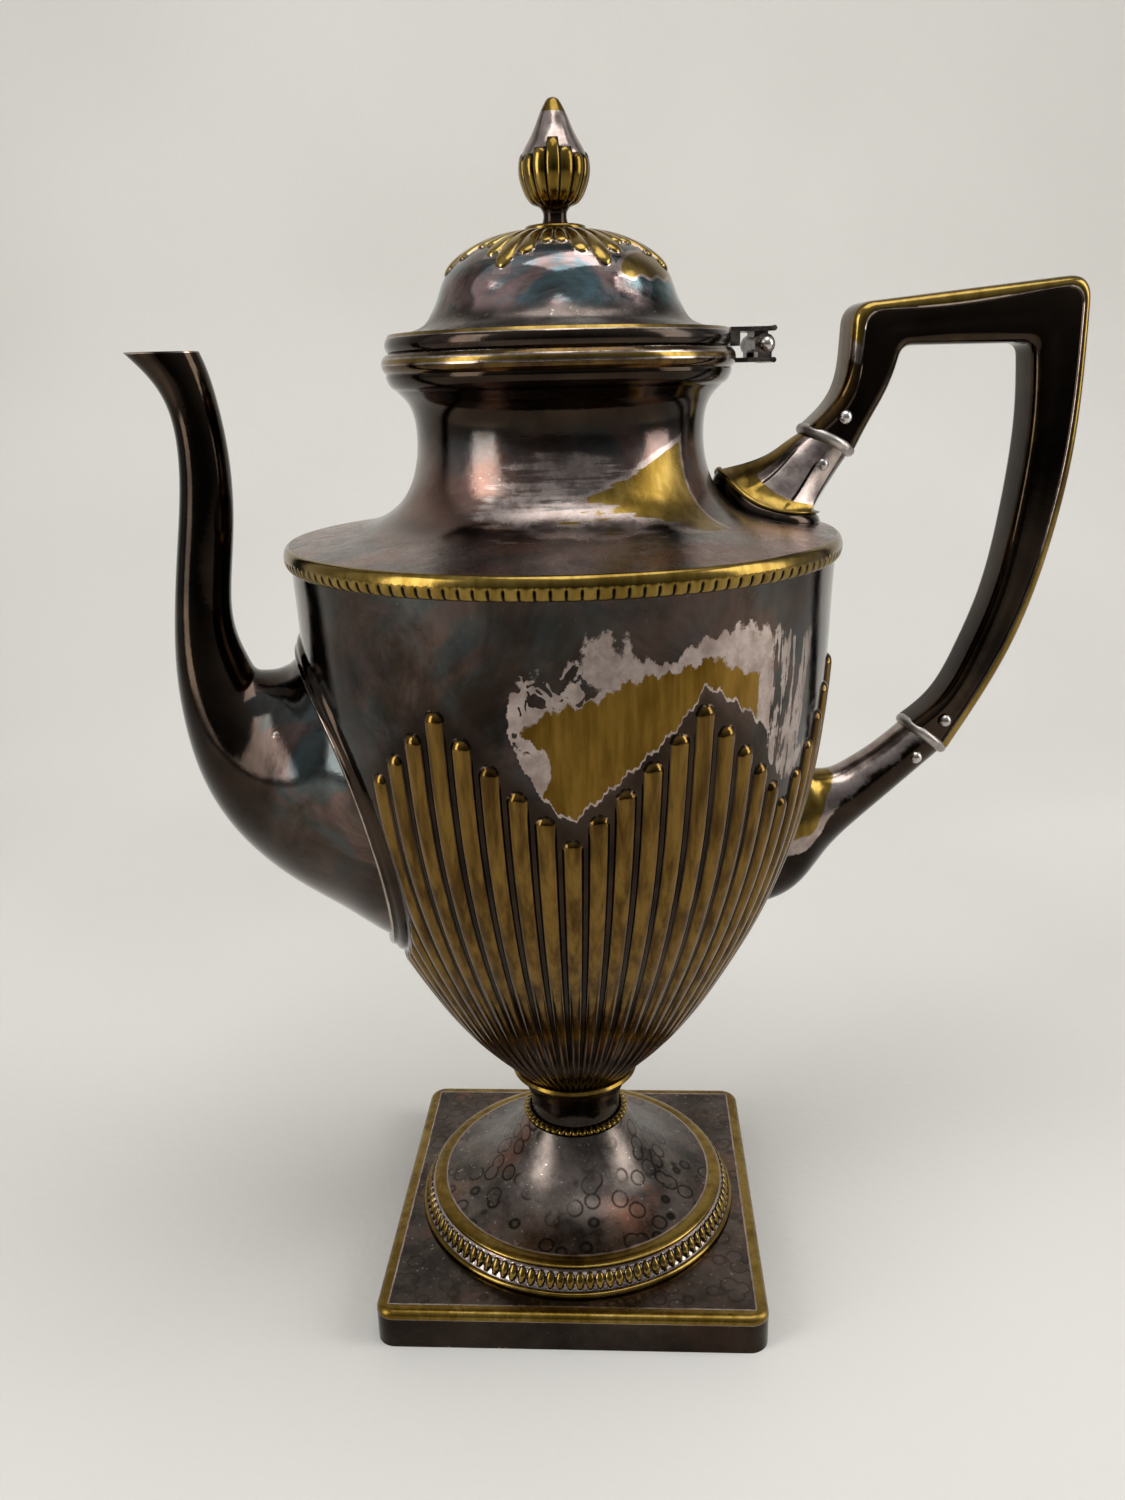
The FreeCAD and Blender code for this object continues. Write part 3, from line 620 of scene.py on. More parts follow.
def make_stem_ring(material):
    """Beaded wire round the bottom of the stem."""
    rows = 15
    columns = stem_bead_count * 12
    profile = half_round(stem_radius + clearance, stem_bead_radius, stem_bead_low, stem_bead_high, rows)
    across = repeat_share(azimuths(columns), 0.0, stem_bead_count, 1.0)[1]
    section = round_bump(np.linspace(-1, 1, rows)[:, None])
    bead = round_bump(across) * section
    relief = (bead - 1) * stem_bead_depth * section
    fields = {"wear_and_reflection": all_brass, "grime": 1 - bead}
    turned("stem_bead_ring", profile, columns, material, fields, offset=relief)


def make_body_cup(material):
    """Shallow cup under the body, worn along its rolled rim."""
    seat = body_bottom - cup_seat_gap
    waist = (stem_radius + cup_waist_step, cup_low + 0.45 * (cup_high - cup_low))
    outer = spline([(stem_radius + cup_foot_step, cup_low), waist, (cup_radius, cup_high - sheet)], 20)
    lip = [(cup_radius + 0.15, cup_high - 0.6 * sheet), (cup_radius - 0.35 * sheet, cup_high - 0.1)]
    inner = spline([(cup_radius - sheet, cup_high), (body_bottom_radius + 1.0, body_bottom + 0.9),
                    (cup_bore + 0.6, seat)], 12)
    profile = np.concatenate([outer, lip, inner, [(cup_bore, seat), (cup_bore, cup_low)]])
    worn_rows = np.arange(13, 24)
    wear_and_reflection = np.full((len(profile), 1), -0.2)
    wear_and_reflection[worn_rows] = 1.6
    turned("body_cup", profile, 160, material, {"wear_and_reflection": wear_and_reflection, "crest": 0.4})


# Body

def body_curve(steps):
    """Outline of the smooth body, from the bottom upwards."""
    points = [(share * body_radius, body_bottom + rise * (body_top - body_bottom))
              for share, rise in body_outline_shares]
    return spline(points, steps)


body_samples = body_curve(400)


def body_radius_at(level):
    """Radius of the smooth body at a height."""
    return np.interp(level, body_samples[:, 1], body_samples[:, 0])


def flute_top(step):
    """Height of the zigzag line along the tops of the flutes, by flutes counted from a valley."""
    return flute_valley_top + flute_step * zigzag(step, flutes_per_wave)


def wave_top(azimuth):
    """Height of the same line at an azimuth."""
    return flute_top((azimuth - flute_valley_azimuth) * flute_count / 360)


def flute_relief(azimuth, level, radius):
    """Height of the flutes above the body, and how near each point is to a crest."""
    number, across = repeat_share(azimuth, flute_valley_azimuth, flute_count, flute_share)
    head = beyond(level, flute_top(number) - flute_head, flute_head)
    start = beyond(-level, -body_bottom - flute_start, flute_start)
    crest = round_bump(across, head, start)
    half_width = radius * math.radians(180 / flute_count * flute_share)
    return crest * half_width * flute_height_share, crest


def outside_ring(ring, side, azimuth, level, radius):
    """Distance outwards from a ring on the body's side, as seen square to the middle plane."""
    out_of_reach = 100.0
    middle = (ring[:, 2].min() + ring[:, 2].max()) / 2
    ring_angle = np.arctan2(ring[:, 2] - middle, ring[:, 1])
    ring_size = np.hypot(ring[:, 2] - middle, ring[:, 1])
    order = np.argsort(ring_angle)
    y = radius * np.sin(np.radians(azimuth))
    x = radius * np.cos(np.radians(azimuth))
    angle = np.arctan2(level - middle, y)
    edge = np.interp(angle, ring_angle[order], ring_size[order], period=2 * math.pi)
    return np.where(side * x > 0, np.hypot(level - middle, y) - edge, out_of_reach)


def border(distance, width):
    """Wear that starts to show silver at the edge of a patch, and brass one width further in."""
    return silver_start + (brass_start - silver_start) * distance / width


def worn_patch(place, azimuth, level):
    """Plate worn through to brass above the flutes, with silver left round its edge."""
    places, margin, brass_top, silver_top = np.array(body_patch, float).T
    level = level + 0.6 * np.sin(1.7 * place) + 0.4 * np.sin(4.1 * place + 1.3 * level)
    silver = np.interp(place, places, silver_top)
    brass = np.interp(place, places, brass_top)
    lower = wave_top(azimuth) + np.interp(place, places, margin)
    patch = np.minimum(border(silver - level, silver - brass), border(level - lower, 0.8))
    patch = np.minimum(patch, border(place - places[0], 2.0))
    patch = np.minimum(patch, border(places[-1] - place, 5.0))
    pale_corner = 1.2 - 1.6 * blob(place, level, pale_corner_place, pale_corner_size)
    patch = np.minimum(patch, np.maximum(pale_corner, 0.7))
    return np.where(patch > brass_start, brass_start + 4 * (patch - brass_start), patch)


def body_wear(azimuth, level):
    """The worn patch on the front, and a lower one behind."""
    front = worn_patch(azimuth, azimuth, level)
    behind = worn_patch(-azimuth - body_patch_turn, azimuth, level + body_patch_drop)
    return np.clip(np.maximum(front, behind), *wear_range)


def body_streaks(azimuth, level):
    """Upright scratches beside the handle, above the flutes."""
    above_flutes = fade(level - wave_top(azimuth), 1, 4)
    return between(azimuth, *streak_sides) * above_flutes * (1 - fade(level, *streak_top))


def make_body(material, spout_ring, socket_ring):
    """Urn with a zigzag band of raised flutes, bare round the spout and the lower socket."""
    fine = body_curve(body_steps)
    spots = [np.linspace(low, high, rows, endpoint=high == 1.0) for low, high, rows in body_rows]
    outer = fine[np.round(np.concatenate(spots) * (body_steps - 1)).astype(int)]
    inner = [(r - sheet, z) for r, z in fine[::-60]][:-1]
    floor = body_bottom + sheet
    bottom = [(body_bottom_radius - sheet, floor), (body_hole, floor), (body_hole, body_bottom)]
    profile = np.concatenate([outer, inner, bottom])
    columns = flute_count * flute_columns
    shape = (len(profile), columns)
    azimuth = azimuths(columns)
    radius = outer[:, 0:1]
    level = outer[:, 1:2]
    rise, crest = flute_relief(azimuth, level, radius)
    clear = fade(outside_ring(spout_ring, -1, azimuth, level, radius), frame_width, frame_width + 1.2)
    clear = clear * fade(outside_ring(socket_ring, 1, azimuth, level, radius), 0.4, 1.6)
    streak = body_streaks(azimuth, level)
    wear_and_reflection = np.maximum(body_wear(azimuth, level), 0.44 * streak)
    fields = {
        "crest": banded(crest ** 0.35 * clear, shape),
        "streak": banded(streak, shape),
        "wear_and_reflection": banded(wear_and_reflection, shape, elsewhere=all_tarnish),
        "pits": banded(np.clip(2 * blob(azimuth, level, pits_place, pits_size), 0, 1), shape),
        "dust": banded(0.12 * fade(level, body_top - 20, body_top), shape, elsewhere=0.3),
        "bloom": banded(0.13 * fade(level - wave_top(azimuth), 0, 6), shape),
    }
    turned("body_shell", profile, columns, material, fields, offset=banded(rise * clear, shape))


def make_shoulder_band(material):
    """Half-round wire, notched like rope along its lower half."""
    rows = 24
    columns = band_notch_count * 8
    profile = half_round(body_radius + clearance, band_radius, band_low, band_high, rows)
    upright = np.linspace(-1, 1, rows)[:, None]
    lower = fade(-upright, -0.05, 0.1) * np.cos(upright * math.pi / 2) ** 0.5
    bead = round_bump(repeat_share(azimuths(columns), 0.0, band_notch_count, 1.0)[1])
    fields = {"wear_and_reflection": all_brass, "grime": 1.6 * lower * (1 - bead)}
    relief = (bead - 1) * band_notch_depth * lower
    turned("shoulder_band", profile, columns, material, fields, offset=relief)


def make_shoulder_neck(material):
    """Sloping shoulder and waisted neck, with a wedge of brass in a smear of silver."""
    outline = [(body_radius, band_high)] + [(r, band_high + z) for r, z in neck_outline]
    outer = spline(outline, 120)
    inner = [(r - sheet, z - 0.6 * sheet) for r, z in outer[::-6]]
    inner[0] = (outer[-1][0] - sheet, outer[-1][1])
    profile = np.concatenate([outer, inner, [(body_radius - sheet, body_top), (body_radius, body_top)]])
    columns = 256
    azimuth = azimuths(columns)
    rise = profile[:, 1:2] - band_high
    bead = neck_bead_bulge * round_bump((profile[:, 1:2] - neck_top) / (neck_bead_height / 2) + 1)
    bead[len(outer):] = 0
    from_tip = azimuth - wedge_tip[0]
    above_tip = rise - wedge_tip[1]
    wedge = np.minimum(wedge_rise * from_tip - above_tip, wedge_fall * from_tip + above_tip)
    brass = np.clip(brass_start + 0.3 * np.minimum(wedge, wedge_end - azimuth), *wear_range)
    smear = blob(azimuth, rise, neck_smear_place, neck_smear_size)
    rear = blob(azimuth, rise, rear_smear_place, rear_smear_size)
    wear_and_reflection = np.maximum(brass, np.clip(0.36 + 0.8 * smear, -1, 0.76))
    wear_and_reflection = np.maximum(wear_and_reflection, np.clip(0.36 + 0.6 * rear, -1, 0.6))
    wear_and_reflection = np.where(rise < 3.5, np.minimum(wear_and_reflection, 0.3), wear_and_reflection)
    wear_and_reflection[len(outer):] = all_tarnish
    fields = {
        "wear_and_reflection": wear_and_reflection,
        "dust": 0.9 * fade(profile[:, 0:1], 41.0, 50.0) + 0.55 * between(rise, 3, 8, 17, 26),
        "bloom": 0.22 * between(rise, 4, 9, 20, 28),
        "streak": -0.7 * fade(np.maximum(smear, rear), -0.3, 0.2),
    }
    turned("shoulder_neck", profile, columns, material, fields, offset=bead)


def make_mouth_rim(material):
    """Rounded bead round the mouth, worn along its upper half."""
    edge = rim_radius - rim_round
    bulge = rim_radius - rim_bulge
    inner = edge - rim_width
    bead = spline([(edge, rim_low), (bulge, rim_low + rim_turn), (rim_radius, (rim_low + rim_high) / 2),
                   (bulge, rim_high - rim_turn), (edge, rim_high)], 24)
    profile = np.concatenate([bead, [(inner, rim_high), (inner, rim_low)]])
    share = (profile[:, 1:2] - rim_low) / (rim_high - rim_low)
    wear_and_reflection = np.clip(1.5 - 5.0 * np.abs(share - 0.62), -0.6, 1.6)
    turned("mouth_rim", profile, 200, material, {"wear_and_reflection": wear_and_reflection, "crest": 0.5})


# Lid

def make_lid_flange(material):
    """Flat-edged ring with a worn line round its upper edge."""
    inner = reach("lid_bezel") - sheet
    edge = spline([(flange_radius - 0.5, flange_low), (flange_radius, flange_low + 0.8),
                   (flange_radius, flange_high - 1.2), (flange_radius - 0.8, flange_high)], 20)
    top = [(r, flange_high) for r in np.linspace(flange_radius - 1.4, inner, 8)]
    profile = np.concatenate([edge, top, [(inner, flange_low)]])
    from_line = np.abs(profile[:, 1:2] - (flange_high - 0.3)) / 0.5
    wear_and_reflection = 1.6 - from_line - np.maximum(flange_radius - 1.6 - profile[:, 0:1], 0)
    fields = {"wear_and_reflection": np.clip(wear_and_reflection, -0.6, 1.6), "dust": 0.15}
    turned("lid_flange", profile, 200, material, fields, "lid")


def petal_relief(azimuth, radius):
    """Raised tongues that spread from the finial, with their tips in a zigzag."""
    half_step = 180 / petal_count
    number, across = repeat_share(azimuth, petal_valley_azimuth + half_step, petal_count, petal_share)
    step = np.mod(number, petals_per_wave)
    tip = np.choose(np.minimum(step, petals_per_wave - 1 - step).astype(int), petal_tip_radii)
    head = radius * math.radians(half_step) * petal_share
    past = beyond(radius, tip - head, head)
    petal = np.clip(1 - across ** 2 - past ** 2, 0, None) ** 0.35
    return petal, tip


def make_lid_dome(material):
    """Domed lid with a cove at its foot and chased petals round the finial."""
    outer = spline([(r, flange_high + z) for r, z in dome_outline], 170)
    top = outer[-1][1]
    hole = [(lid_hole, top), (lid_hole, top - sheet), (5.0, top - sheet)]
    inner = [(r - 0.7 * sheet, z - 0.7 * sheet) for r, z in outer[-8::-12]]
    profile = np.concatenate([outer, hole, inner, [(outer[0][0] - 2 * sheet, flange_high)]])
    columns = petal_count * 14
    shape = (len(profile), columns)
    azimuth = azimuths(columns)
    radius = outer[:, 0:1]
    level = outer[:, 1:2]
    rise = level - flange_high
    petal, tip = petal_relief(azimuth, radius)
    petal = petal * fade(rise, 6, 8)
    patch = border(blob(azimuth, rise, lid_patch_place, lid_patch_size), 0.12)
    patch = np.minimum(patch, border(rise - lid_patch_low + 0.4 * np.sin(0.5 * azimuth), 0.7))
    beside_petal = np.where(radius < tip + 0.7, all_silver, all_tarnish)
    petal_wear = np.where(petal > 0.1, bead_brass, beside_petal)
    wear_and_reflection = np.maximum(np.clip(patch, *wear_range), petal_wear)
    grime = 1.3 * fade(petal, 0.0, 0.05) * fade(-petal, -0.45, -0.3)
    grime = grime + 0.5 * fade(patch, brass_start, 1.0) * (petal < 0.1)
    fields = {
        "crest": banded(petal, shape),
        "wear_and_reflection": banded(wear_and_reflection, shape, elsewhere=all_tarnish),
        "grime": banded(grime, shape),
        "bloom": banded(fade(rise, 3, 6) * (1 - fade(level, *lid_bloom_top)), shape),
        "dust": banded(0.9 * (1 - fade(rise, 2, 6)), shape, elsewhere=0.3),
    }
    turned("lid_dome", profile, columns, material, fields, "lid", banded(petal * petal_height, shape))


def make_finial_collar(material):
    """Small turned disc under the finial."""
    centre = (collar_radius - collar_round, (collar_low + collar_high) / 2)
    profile = [(collar_radius - 0.2, collar_low)] + arc_points(centre, collar_round, -80, 90, 14)
    profile += [(collar_radius - 2 * collar_round, collar_high)]
    profile += [(collar_bore, collar_high), (collar_bore, collar_low)]
    turned("finial_collar", profile, 96, material, {"wear_and_reflection": 1.2, "crest": 0.6}, "lid")


def make_finial(material):
    """Bud with a smooth pointed tip, held in a ring of ribbed leaves."""
    outer = spline([(r, bud_low + z) for r, z in bud_outline], 150)
    columns = leaf_count * 14
    rise = outer[:, 1:2] - bud_low
    number, across = repeat_share(azimuths(columns), leaf_azimuth, leaf_count, leaf_share)
    top = np.choose(zigzag(number, leaves_per_wave).astype(int), leaf_tops)
    past = beyond(rise, top - leaf_head, leaf_head)
    leaf = round_bump(across, past) * fade(rise, leaf_start, leaf_start + 1.5)
    cone = fade(rise - top, -0.2, 0.4)
    tip = fade(rise, bud_tip_start, bud_tip_start + 1)
    wear_and_reflection = np.where(cone > 0.5, all_silver + tip, np.where(rise > leaf_start, bead_brass, -0.4))
    grime = fade(-leaf, -0.7, -0.3) * (1 - cone) * fade(rise, leaf_start, leaf_start + 1)
    fields = {"crest": leaf, "wear_and_reflection": wear_and_reflection, "grime": grime}
    relief = (leaf - 0.6) * leaf_height
    turned("finial_bud", outer, columns, material, fields, "lid", relief, capped=True)


# Spout

def on_pot(place, side):
    """A reach beyond the body and a rise above its upper edge, as a place on one side of the pot."""
    return (side * (body_radius + place[0]), body_top + place[1])


def oval_lines(sections, side, columns, steps, grow=0.0, first=None):
    """Smooth lengthwise lines through oval sections: an array of lines, each a row of points."""
    rows = [] if first is None else [first]
    for outer, inner, half in sections:
        rows.append((on_pot(outer, side), on_pot(inner, side), half))
    table = spline([outer + inner + (half,) for outer, inner, half in rows], steps)
    outer = table[:, 0:2]
    inner = table[:, 2:4]
    half_length = np.linalg.norm(outer - inner, axis=1) / 2
    unit = (outer - inner) / (2 * half_length)[:, None]
    centre = (outer + inner) / 2
    turn = turns(columns).T
    far = np.cos(turn) * (half_length + grow)[None, :]
    x = centre[None, :, 0] + far * unit[None, :, 0]
    z = centre[None, :, 1] + far * unit[None, :, 1]
    y = np.sin(turn) * (table[:, 4] + grow)[None, :]
    return np.stack([x, y, z], axis=-1)


def trimmed(line, keep, rows):
    """The stretch of a line where keep is positive, resampled evenly. Its ends lie between samples."""
    inside = np.nonzero(keep > 0)[0]
    first = inside[0]
    last = inside[-1]
    points = list(line[first:last + 1])
    if first > 0:
        share = keep[first] / (keep[first] - keep[first - 1])
        points.insert(0, line[first] + (line[first - 1] - line[first]) * share)
    if last < len(line) - 1:
        share = keep[last] / (keep[last] - keep[last + 1])
        points.append(line[last] + (line[last + 1] - line[last]) * share)
    return along(points, np.linspace(0, line_length(points), rows))


def spout_keep(line):
    """Positive between the body's surface and the level lip."""
    outside = np.hypot(line[:, 0], line[:, 1]) - body_radius_at(line[:, 2])
    below_lip = body_top + spout_lip_rise - line[:, 2]
    return np.minimum(outside, below_lip)


def spout_grid(grow, columns, rows):
    """Rings of the spout from the body to the lip, grown or shrunk."""
    lines = oval_lines(spout_sections, -1, columns, 400, grow)
    return np.array([trimmed(line, spout_keep(line), rows) for line in lines]).transpose(1, 0, 2)


def flipped(points):
    """The same grid with its columns in the other order, which turns its faces over."""
    return points[:, ::-1]


def make_spout(material):
    """Swan-neck tube from the body to a level pouring lip."""
    rows = 130
    inner_rows = rows // 3
    columns = 72
    outer = spout_grid(0.0, columns, rows)
    inner = spout_grid(-spout_wall, columns, inner_rows)
    share = np.concatenate([np.linspace(0, 1, rows), np.full(inner_rows, 0.5)])[:, None]
    # Painted reflection: the throat mask lays a faint, ragged patch of pale pinkish silver on the spout's
    # upper sides near its root, where a window would reflect. It rides in the wear field but is not wear; the
    # brass line on the lip is real wear.
    throat_reflection = np.clip(1 - np.hypot((share - 0.16) / 0.14, (np.cos(turns(columns)) + 0.5) / 0.8), -1, 1)
    lip = np.where(share > 0.995, 1.2, -0.6)
    fields = {"wear_and_reflection": np.maximum(lip, 0.6 * throat_reflection - 0.2), "bloom": 0.25 * fade(-share, -0.3, -0.05)}
    add_piece("spout", np.concatenate([outer, inner[::-1]]), material, fields)
    return outer[0]


def body_normal(points):
    """Outward direction of the smooth body at points on it."""
    step = 0.5
    slope = (body_radius_at(points[:, 2] + step) - body_radius_at(points[:, 2] - step)) / (2 * step)
    turn = np.arctan2(points[:, 1], points[:, 0])
    normal = np.stack([np.cos(turn), np.sin(turn), -slope], axis=1)
    return normal / np.linalg.norm(normal, axis=1)[:, None]


def make_spout_frame(material, ring):
    """Leaf-shaped moulding that lies on the body round the spout's root."""
    loop = np.vstack([ring, ring[:1]])
    ring = along(loop, np.linspace(0, line_length(loop), 241)[:-1])
    forward = np.roll(ring, -1, axis=0) - np.roll(ring, 1, axis=0)
    forward /= np.linalg.norm(forward, axis=1)[:, None]
    outward = np.cross(forward, body_normal(ring))
    if np.sum(outward * (ring - ring.mean(axis=0))) < 0:
        outward = -outward
    rows = []
    for away, height, _ in frame_section:
        surface = ring + outward * away
        scale = body_radius_at(surface[:, 2]) / np.hypot(surface[:, 0], surface[:, 1])
        surface[:, :2] *= scale[:, None]
        rows.append(surface + body_normal(surface) * height)
    wear_and_reflection = np.array(frame_section)[:, 2:3]
    add_piece("spout_frame", np.array(rows), material, {"wear_and_reflection": wear_and_reflection})


# Handle and sockets

def joint(place, slope):
    """Centre of a joint and the direction in which the handle leaves it."""
    turn = math.radians(slope)
    return np.array(on_pot(place, 1)), np.array((math.cos(turn), math.sin(turn)))


def joint_end(centre, direction, side, away):
    """Where an edge of the handle or a socket meets the insulator."""
    level = np.array((direction[1], -direction[0]))
    return tuple(centre + direction * away * insulator_thickness / 2 + level * side * grip_radius)


def cornered(left, right, radius):
    """Edge of the handle: a bent leg, a straight top and a longer bent leg, with round corners between."""
    left = spline(left, 80)
    right = spline(right, 160)
    top = np.array([left[-1], right[0]])

    def corner_cut(before, after):
        turn = math.acos(float(np.clip(np.dot(before, after), -1, 1)))
        return radius * math.tan(turn / 2)

    def unit(vector):
        return vector / np.linalg.norm(vector)

    first_cut = corner_cut(unit(left[-1] - left[-2]), unit(top[1] - top[0]))
    second_cut = corner_cut(unit(top[1] - top[0]), unit(right[1] - right[0]))
    legs = [along(left, np.linspace(0, line_length(left) - first_cut, 30)),
            along(top, np.linspace(first_cut, line_length(top) - second_cut, 24)),
            along(right, np.linspace(second_cut, line_length(right), 70))]
    path = [legs[0]]
    for corner, before, after in ((top[0], legs[0], legs[1]), (top[1], legs[1], legs[2])):
        share = np.linspace(0, 1, 14)[1:-1, None]
        bend = before[-1] * (1 - share) ** 2 + corner * 2 * share * (1 - share) + after[0] * share ** 2
        path += [bend, after]
    return np.vstack(path)


def grip_section(half_width):
    """Half of the handle's section, from its outer to its inner edge: place along its width, and depth.
    The outer edge is a round bead set off by a shallow groove, and the face is slightly hollow."""
    round_start = half_width - grip_rounding
    round_depth = grip_depth - grip_rounding
    floor = grip_depth - grip_groove
    bead = arc_points((round_start, round_depth), grip_rounding, 0, 90, 8)
    groove = [(round_start - 0.5, grip_depth - 0.05), (round_start - 0.9, floor - 0.1),
              (round_start - 1.4, floor)]
    face = [(0.0, floor - 0.15), (-0.3 * half_width, floor)]
    back = arc_points((-round_start, round_depth - 0.1), grip_rounding, 90, 180, 7)
    return [(half_width, 0.0)] + bead + groove + face + back + [(-half_width, 0.0)]


def handle_edge(upper, lower, side, left, right, corner):
    """The outer or the inner edge of the handle, from the upper joint to the lower one."""
    left = [joint_end(*upper, -side, 1)] + [on_pot(place, 1) for place in left]
    right = [on_pot(place, 1) for place in right] + [joint_end(*lower, side, 1)]
    return cornered(left, right, corner)


def make_handle(material, upper, lower):
    """Angular cast handle, worn along its outer bead."""
    outer = handle_edge(upper, lower, 1, handle_left_outer, handle_right_outer, outer_corner)
    inner = handle_edge(upper, lower, -1, handle_left_inner, handle_right_inner, inner_corner)
    rows = []
    for edge, back in zip(outer, inner):
        half_width = np.linalg.norm(edge - back) / 2
        unit = (edge - back) / (2 * half_width)
        centre = (edge + back) / 2
        side = grip_section(half_width)
        loop = side + [(w, -d) for w, d in side[-2:0:-1]]
        rows.append([(centre[0] + unit[0] * w, d, centre[1] + unit[1] * w) for w, d in loop])
    points = np.array(rows)
    half = len(side)
    bead = slice(2, 9)
    outer_edge = slice(0, 9)
    inner_edge = slice(-7, -2)
    line = np.full(half, -0.6)
    line[bead] = 1.2
    line[bead.stop] = all_silver
    edge_crest = np.zeros(half)
    edge_crest[outer_edge] = 0.5
    edge_crest[inner_edge] = 0.32
    both_sides = np.concatenate([np.arange(half), np.arange(half - 2, 0, -1)])
    place = np.linspace(0, 1, len(points))[:, None]
    wear_and_reflection = line[both_sides][None, :] - 1.1 * (1 - fade(place, 0.1, 0.2))
    crest = edge_crest[both_sides][None, :]
    fields = {"wear_and_reflection": flipped(wear_and_reflection), "crest": flipped(crest)}
    add_piece("handle", flipped(points), material, fields, capped=True)


def make_insulator(node, centre, direction, material):
    """Rounded ring between the handle and its socket."""
    turn = turns(96)
    swing = turns(24).T
    size = grip_radius + insulator_overhang + insulator_round * (np.cos(swing) - 1)
    across = size * np.cos(turn)
    forward = insulator_round * np.sin(swing)
    x = centre[0] + direction[1] * across + direction[0] * forward
    z = centre[1] - direction[0] * across + direction[1] * forward
    points = np.stack([x, size * np.sin(turn), z], axis=-1)
    add_piece(node, points, material, {})


def faceted(points, facets, strength):
    """Flatten the sides of lofted sections into facets, more towards the last row."""
    rows, columns = points.shape[:2]
    centre = points.mean(axis=1, keepdims=True)
    width = 2 * math.pi / facets
    within = np.mod(turns(columns), width) - width / 2
    flat = math.cos(width / 2) / np.cos(within)
    down = np.linspace(0, 1, rows)[:, None]
    share = strength * down ** 0.7 * (1 - fade(down, 0.8, 1.0))
    scale = 1 - share * (1 - flat)
    return centre + (points - centre) * scale[..., None]


def shoulder_level(x, y):
    """Height of the shoulder's surface at a place seen from above."""
    shoulder = [(body_radius, 0.0)] + neck_outline[:7]
    radii, rises = np.array(shoulder[::-1]).T
    return band_high + np.interp(np.hypot(x, y), radii, rises)


def make_socket_base(material, rim):
    """Low moulding between the foot of the upper socket and the shoulder."""
    away = rim[:, :2] - rim[:, :2].mean(axis=0)
    away /= np.linalg.norm(away, axis=1)[:, None]
    rows = []
    for step, share in socket_base_section:
        spot = rim[:, :2] + away * step
        seat = shoulder_level(spot[:, 0], spot[:, 1]) - socket_base_sink
        rows.append(np.column_stack([spot, seat + (rim[:, 2] - seat) * share]))
    add_piece("upper_socket_base", np.array(rows), material, {"wear_and_reflection": all_tarnish, "dust": 0.15})


def make_upper_socket(material, upper):
    """Flared and faceted socket whose worn foot follows the shoulder."""
    columns = 96
    turn = turns(columns)
    start = (joint_end(*upper, 1, -1), joint_end(*upper, -1, -1), grip_radius)
    lines = oval_lines(upper_socket_sections, 1, columns, 60, first=start)
    points = faceted(lines.transpose(1, 0, 2), socket_facets, socket_flatness)
    rim = points[-1]
    drop = rim[:, 2] - shoulder_level(rim[:, 0], rim[:, 1]) - socket_base_height
    down = fade(np.linspace(0, 1, len(points))[:, None], 0.3, 1.0)
    points[..., 2] -= np.maximum(drop, 0) * np.abs(np.sin(turn)) * down
    rim = points[-1]
    make_socket_base(material, rim)
    centre = rim.mean(axis=0)
    inward = centre - points[-8].mean(axis=0)
    inward /= np.linalg.norm(inward)
    spread = (rim - centre) / np.linalg.norm(rim - centre, axis=1)[:, None]
    roll = [rim + spread * socket_roll * math.sin(t) - inward * socket_roll * (0.3 + math.cos(t))
            for t in np.linspace(0.6, math.pi, 12)]
    points = np.concatenate([points, np.array(roll)])
    place = np.linspace(0, 1, len(points))[:, None]
    facet = np.mod(turn * socket_facets / (2 * math.pi), 1)
    skirt = fade(place, socket_worn_from, socket_worn_from + 0.06)
    wear_and_reflection = 0.68 + 0.7 * fade(-np.cos(turn), 0.8, 0.97) - 0.5 * fade(np.cos(turn), 0.5, 0.9)
    wear_and_reflection = wear_and_reflection * (1 - skirt) + 1.5 * skirt
    grime = 1.2 * fade(np.abs(facet - 0.5), 0.4, 0.5) * fade(place, 0.15, 0.3) * (1 - skirt)
    grime[-1] = 1
    fields = {"wear_and_reflection": wear_and_reflection, "grime": grime, "dust": 0.25}
    add_piece("upper_socket", points, material, fields, capped=True)


def make_lower_socket(material, grid):
    """Swept bracket from the body to the handle's lower end."""
    place = np.linspace(0, 1, len(grid))[:, None]
    upper_side = np.cos(turns(grid.shape[1]))
    brass = 0.75 * fade(place, 0.6, 0.85) * fade(-upper_side, -0.35, 0.2)
    add_piece("lower_socket", grid, material, {"wear_and_reflection": 0.76 - 0.42 * (upper_side + 1) + brass}, capped=True)


def lower_socket_grid(lower, columns, rows):
    """Rings of the lower socket, from the handle's joint to the body."""
    start = (joint_end(*lower, 1, -1), joint_end(*lower, -1, -1), grip_radius)
    grid = []
    for line in oval_lines(lower_socket_sections, 1, columns, 240, first=start):
        outside = np.hypot(line[:, 0], line[:, 1]) - body_radius_at(line[:, 2]) + clearance
        grid.append(trimmed(line, outside, rows))
    return np.array(grid).transpose(1, 0, 2)


# Materials

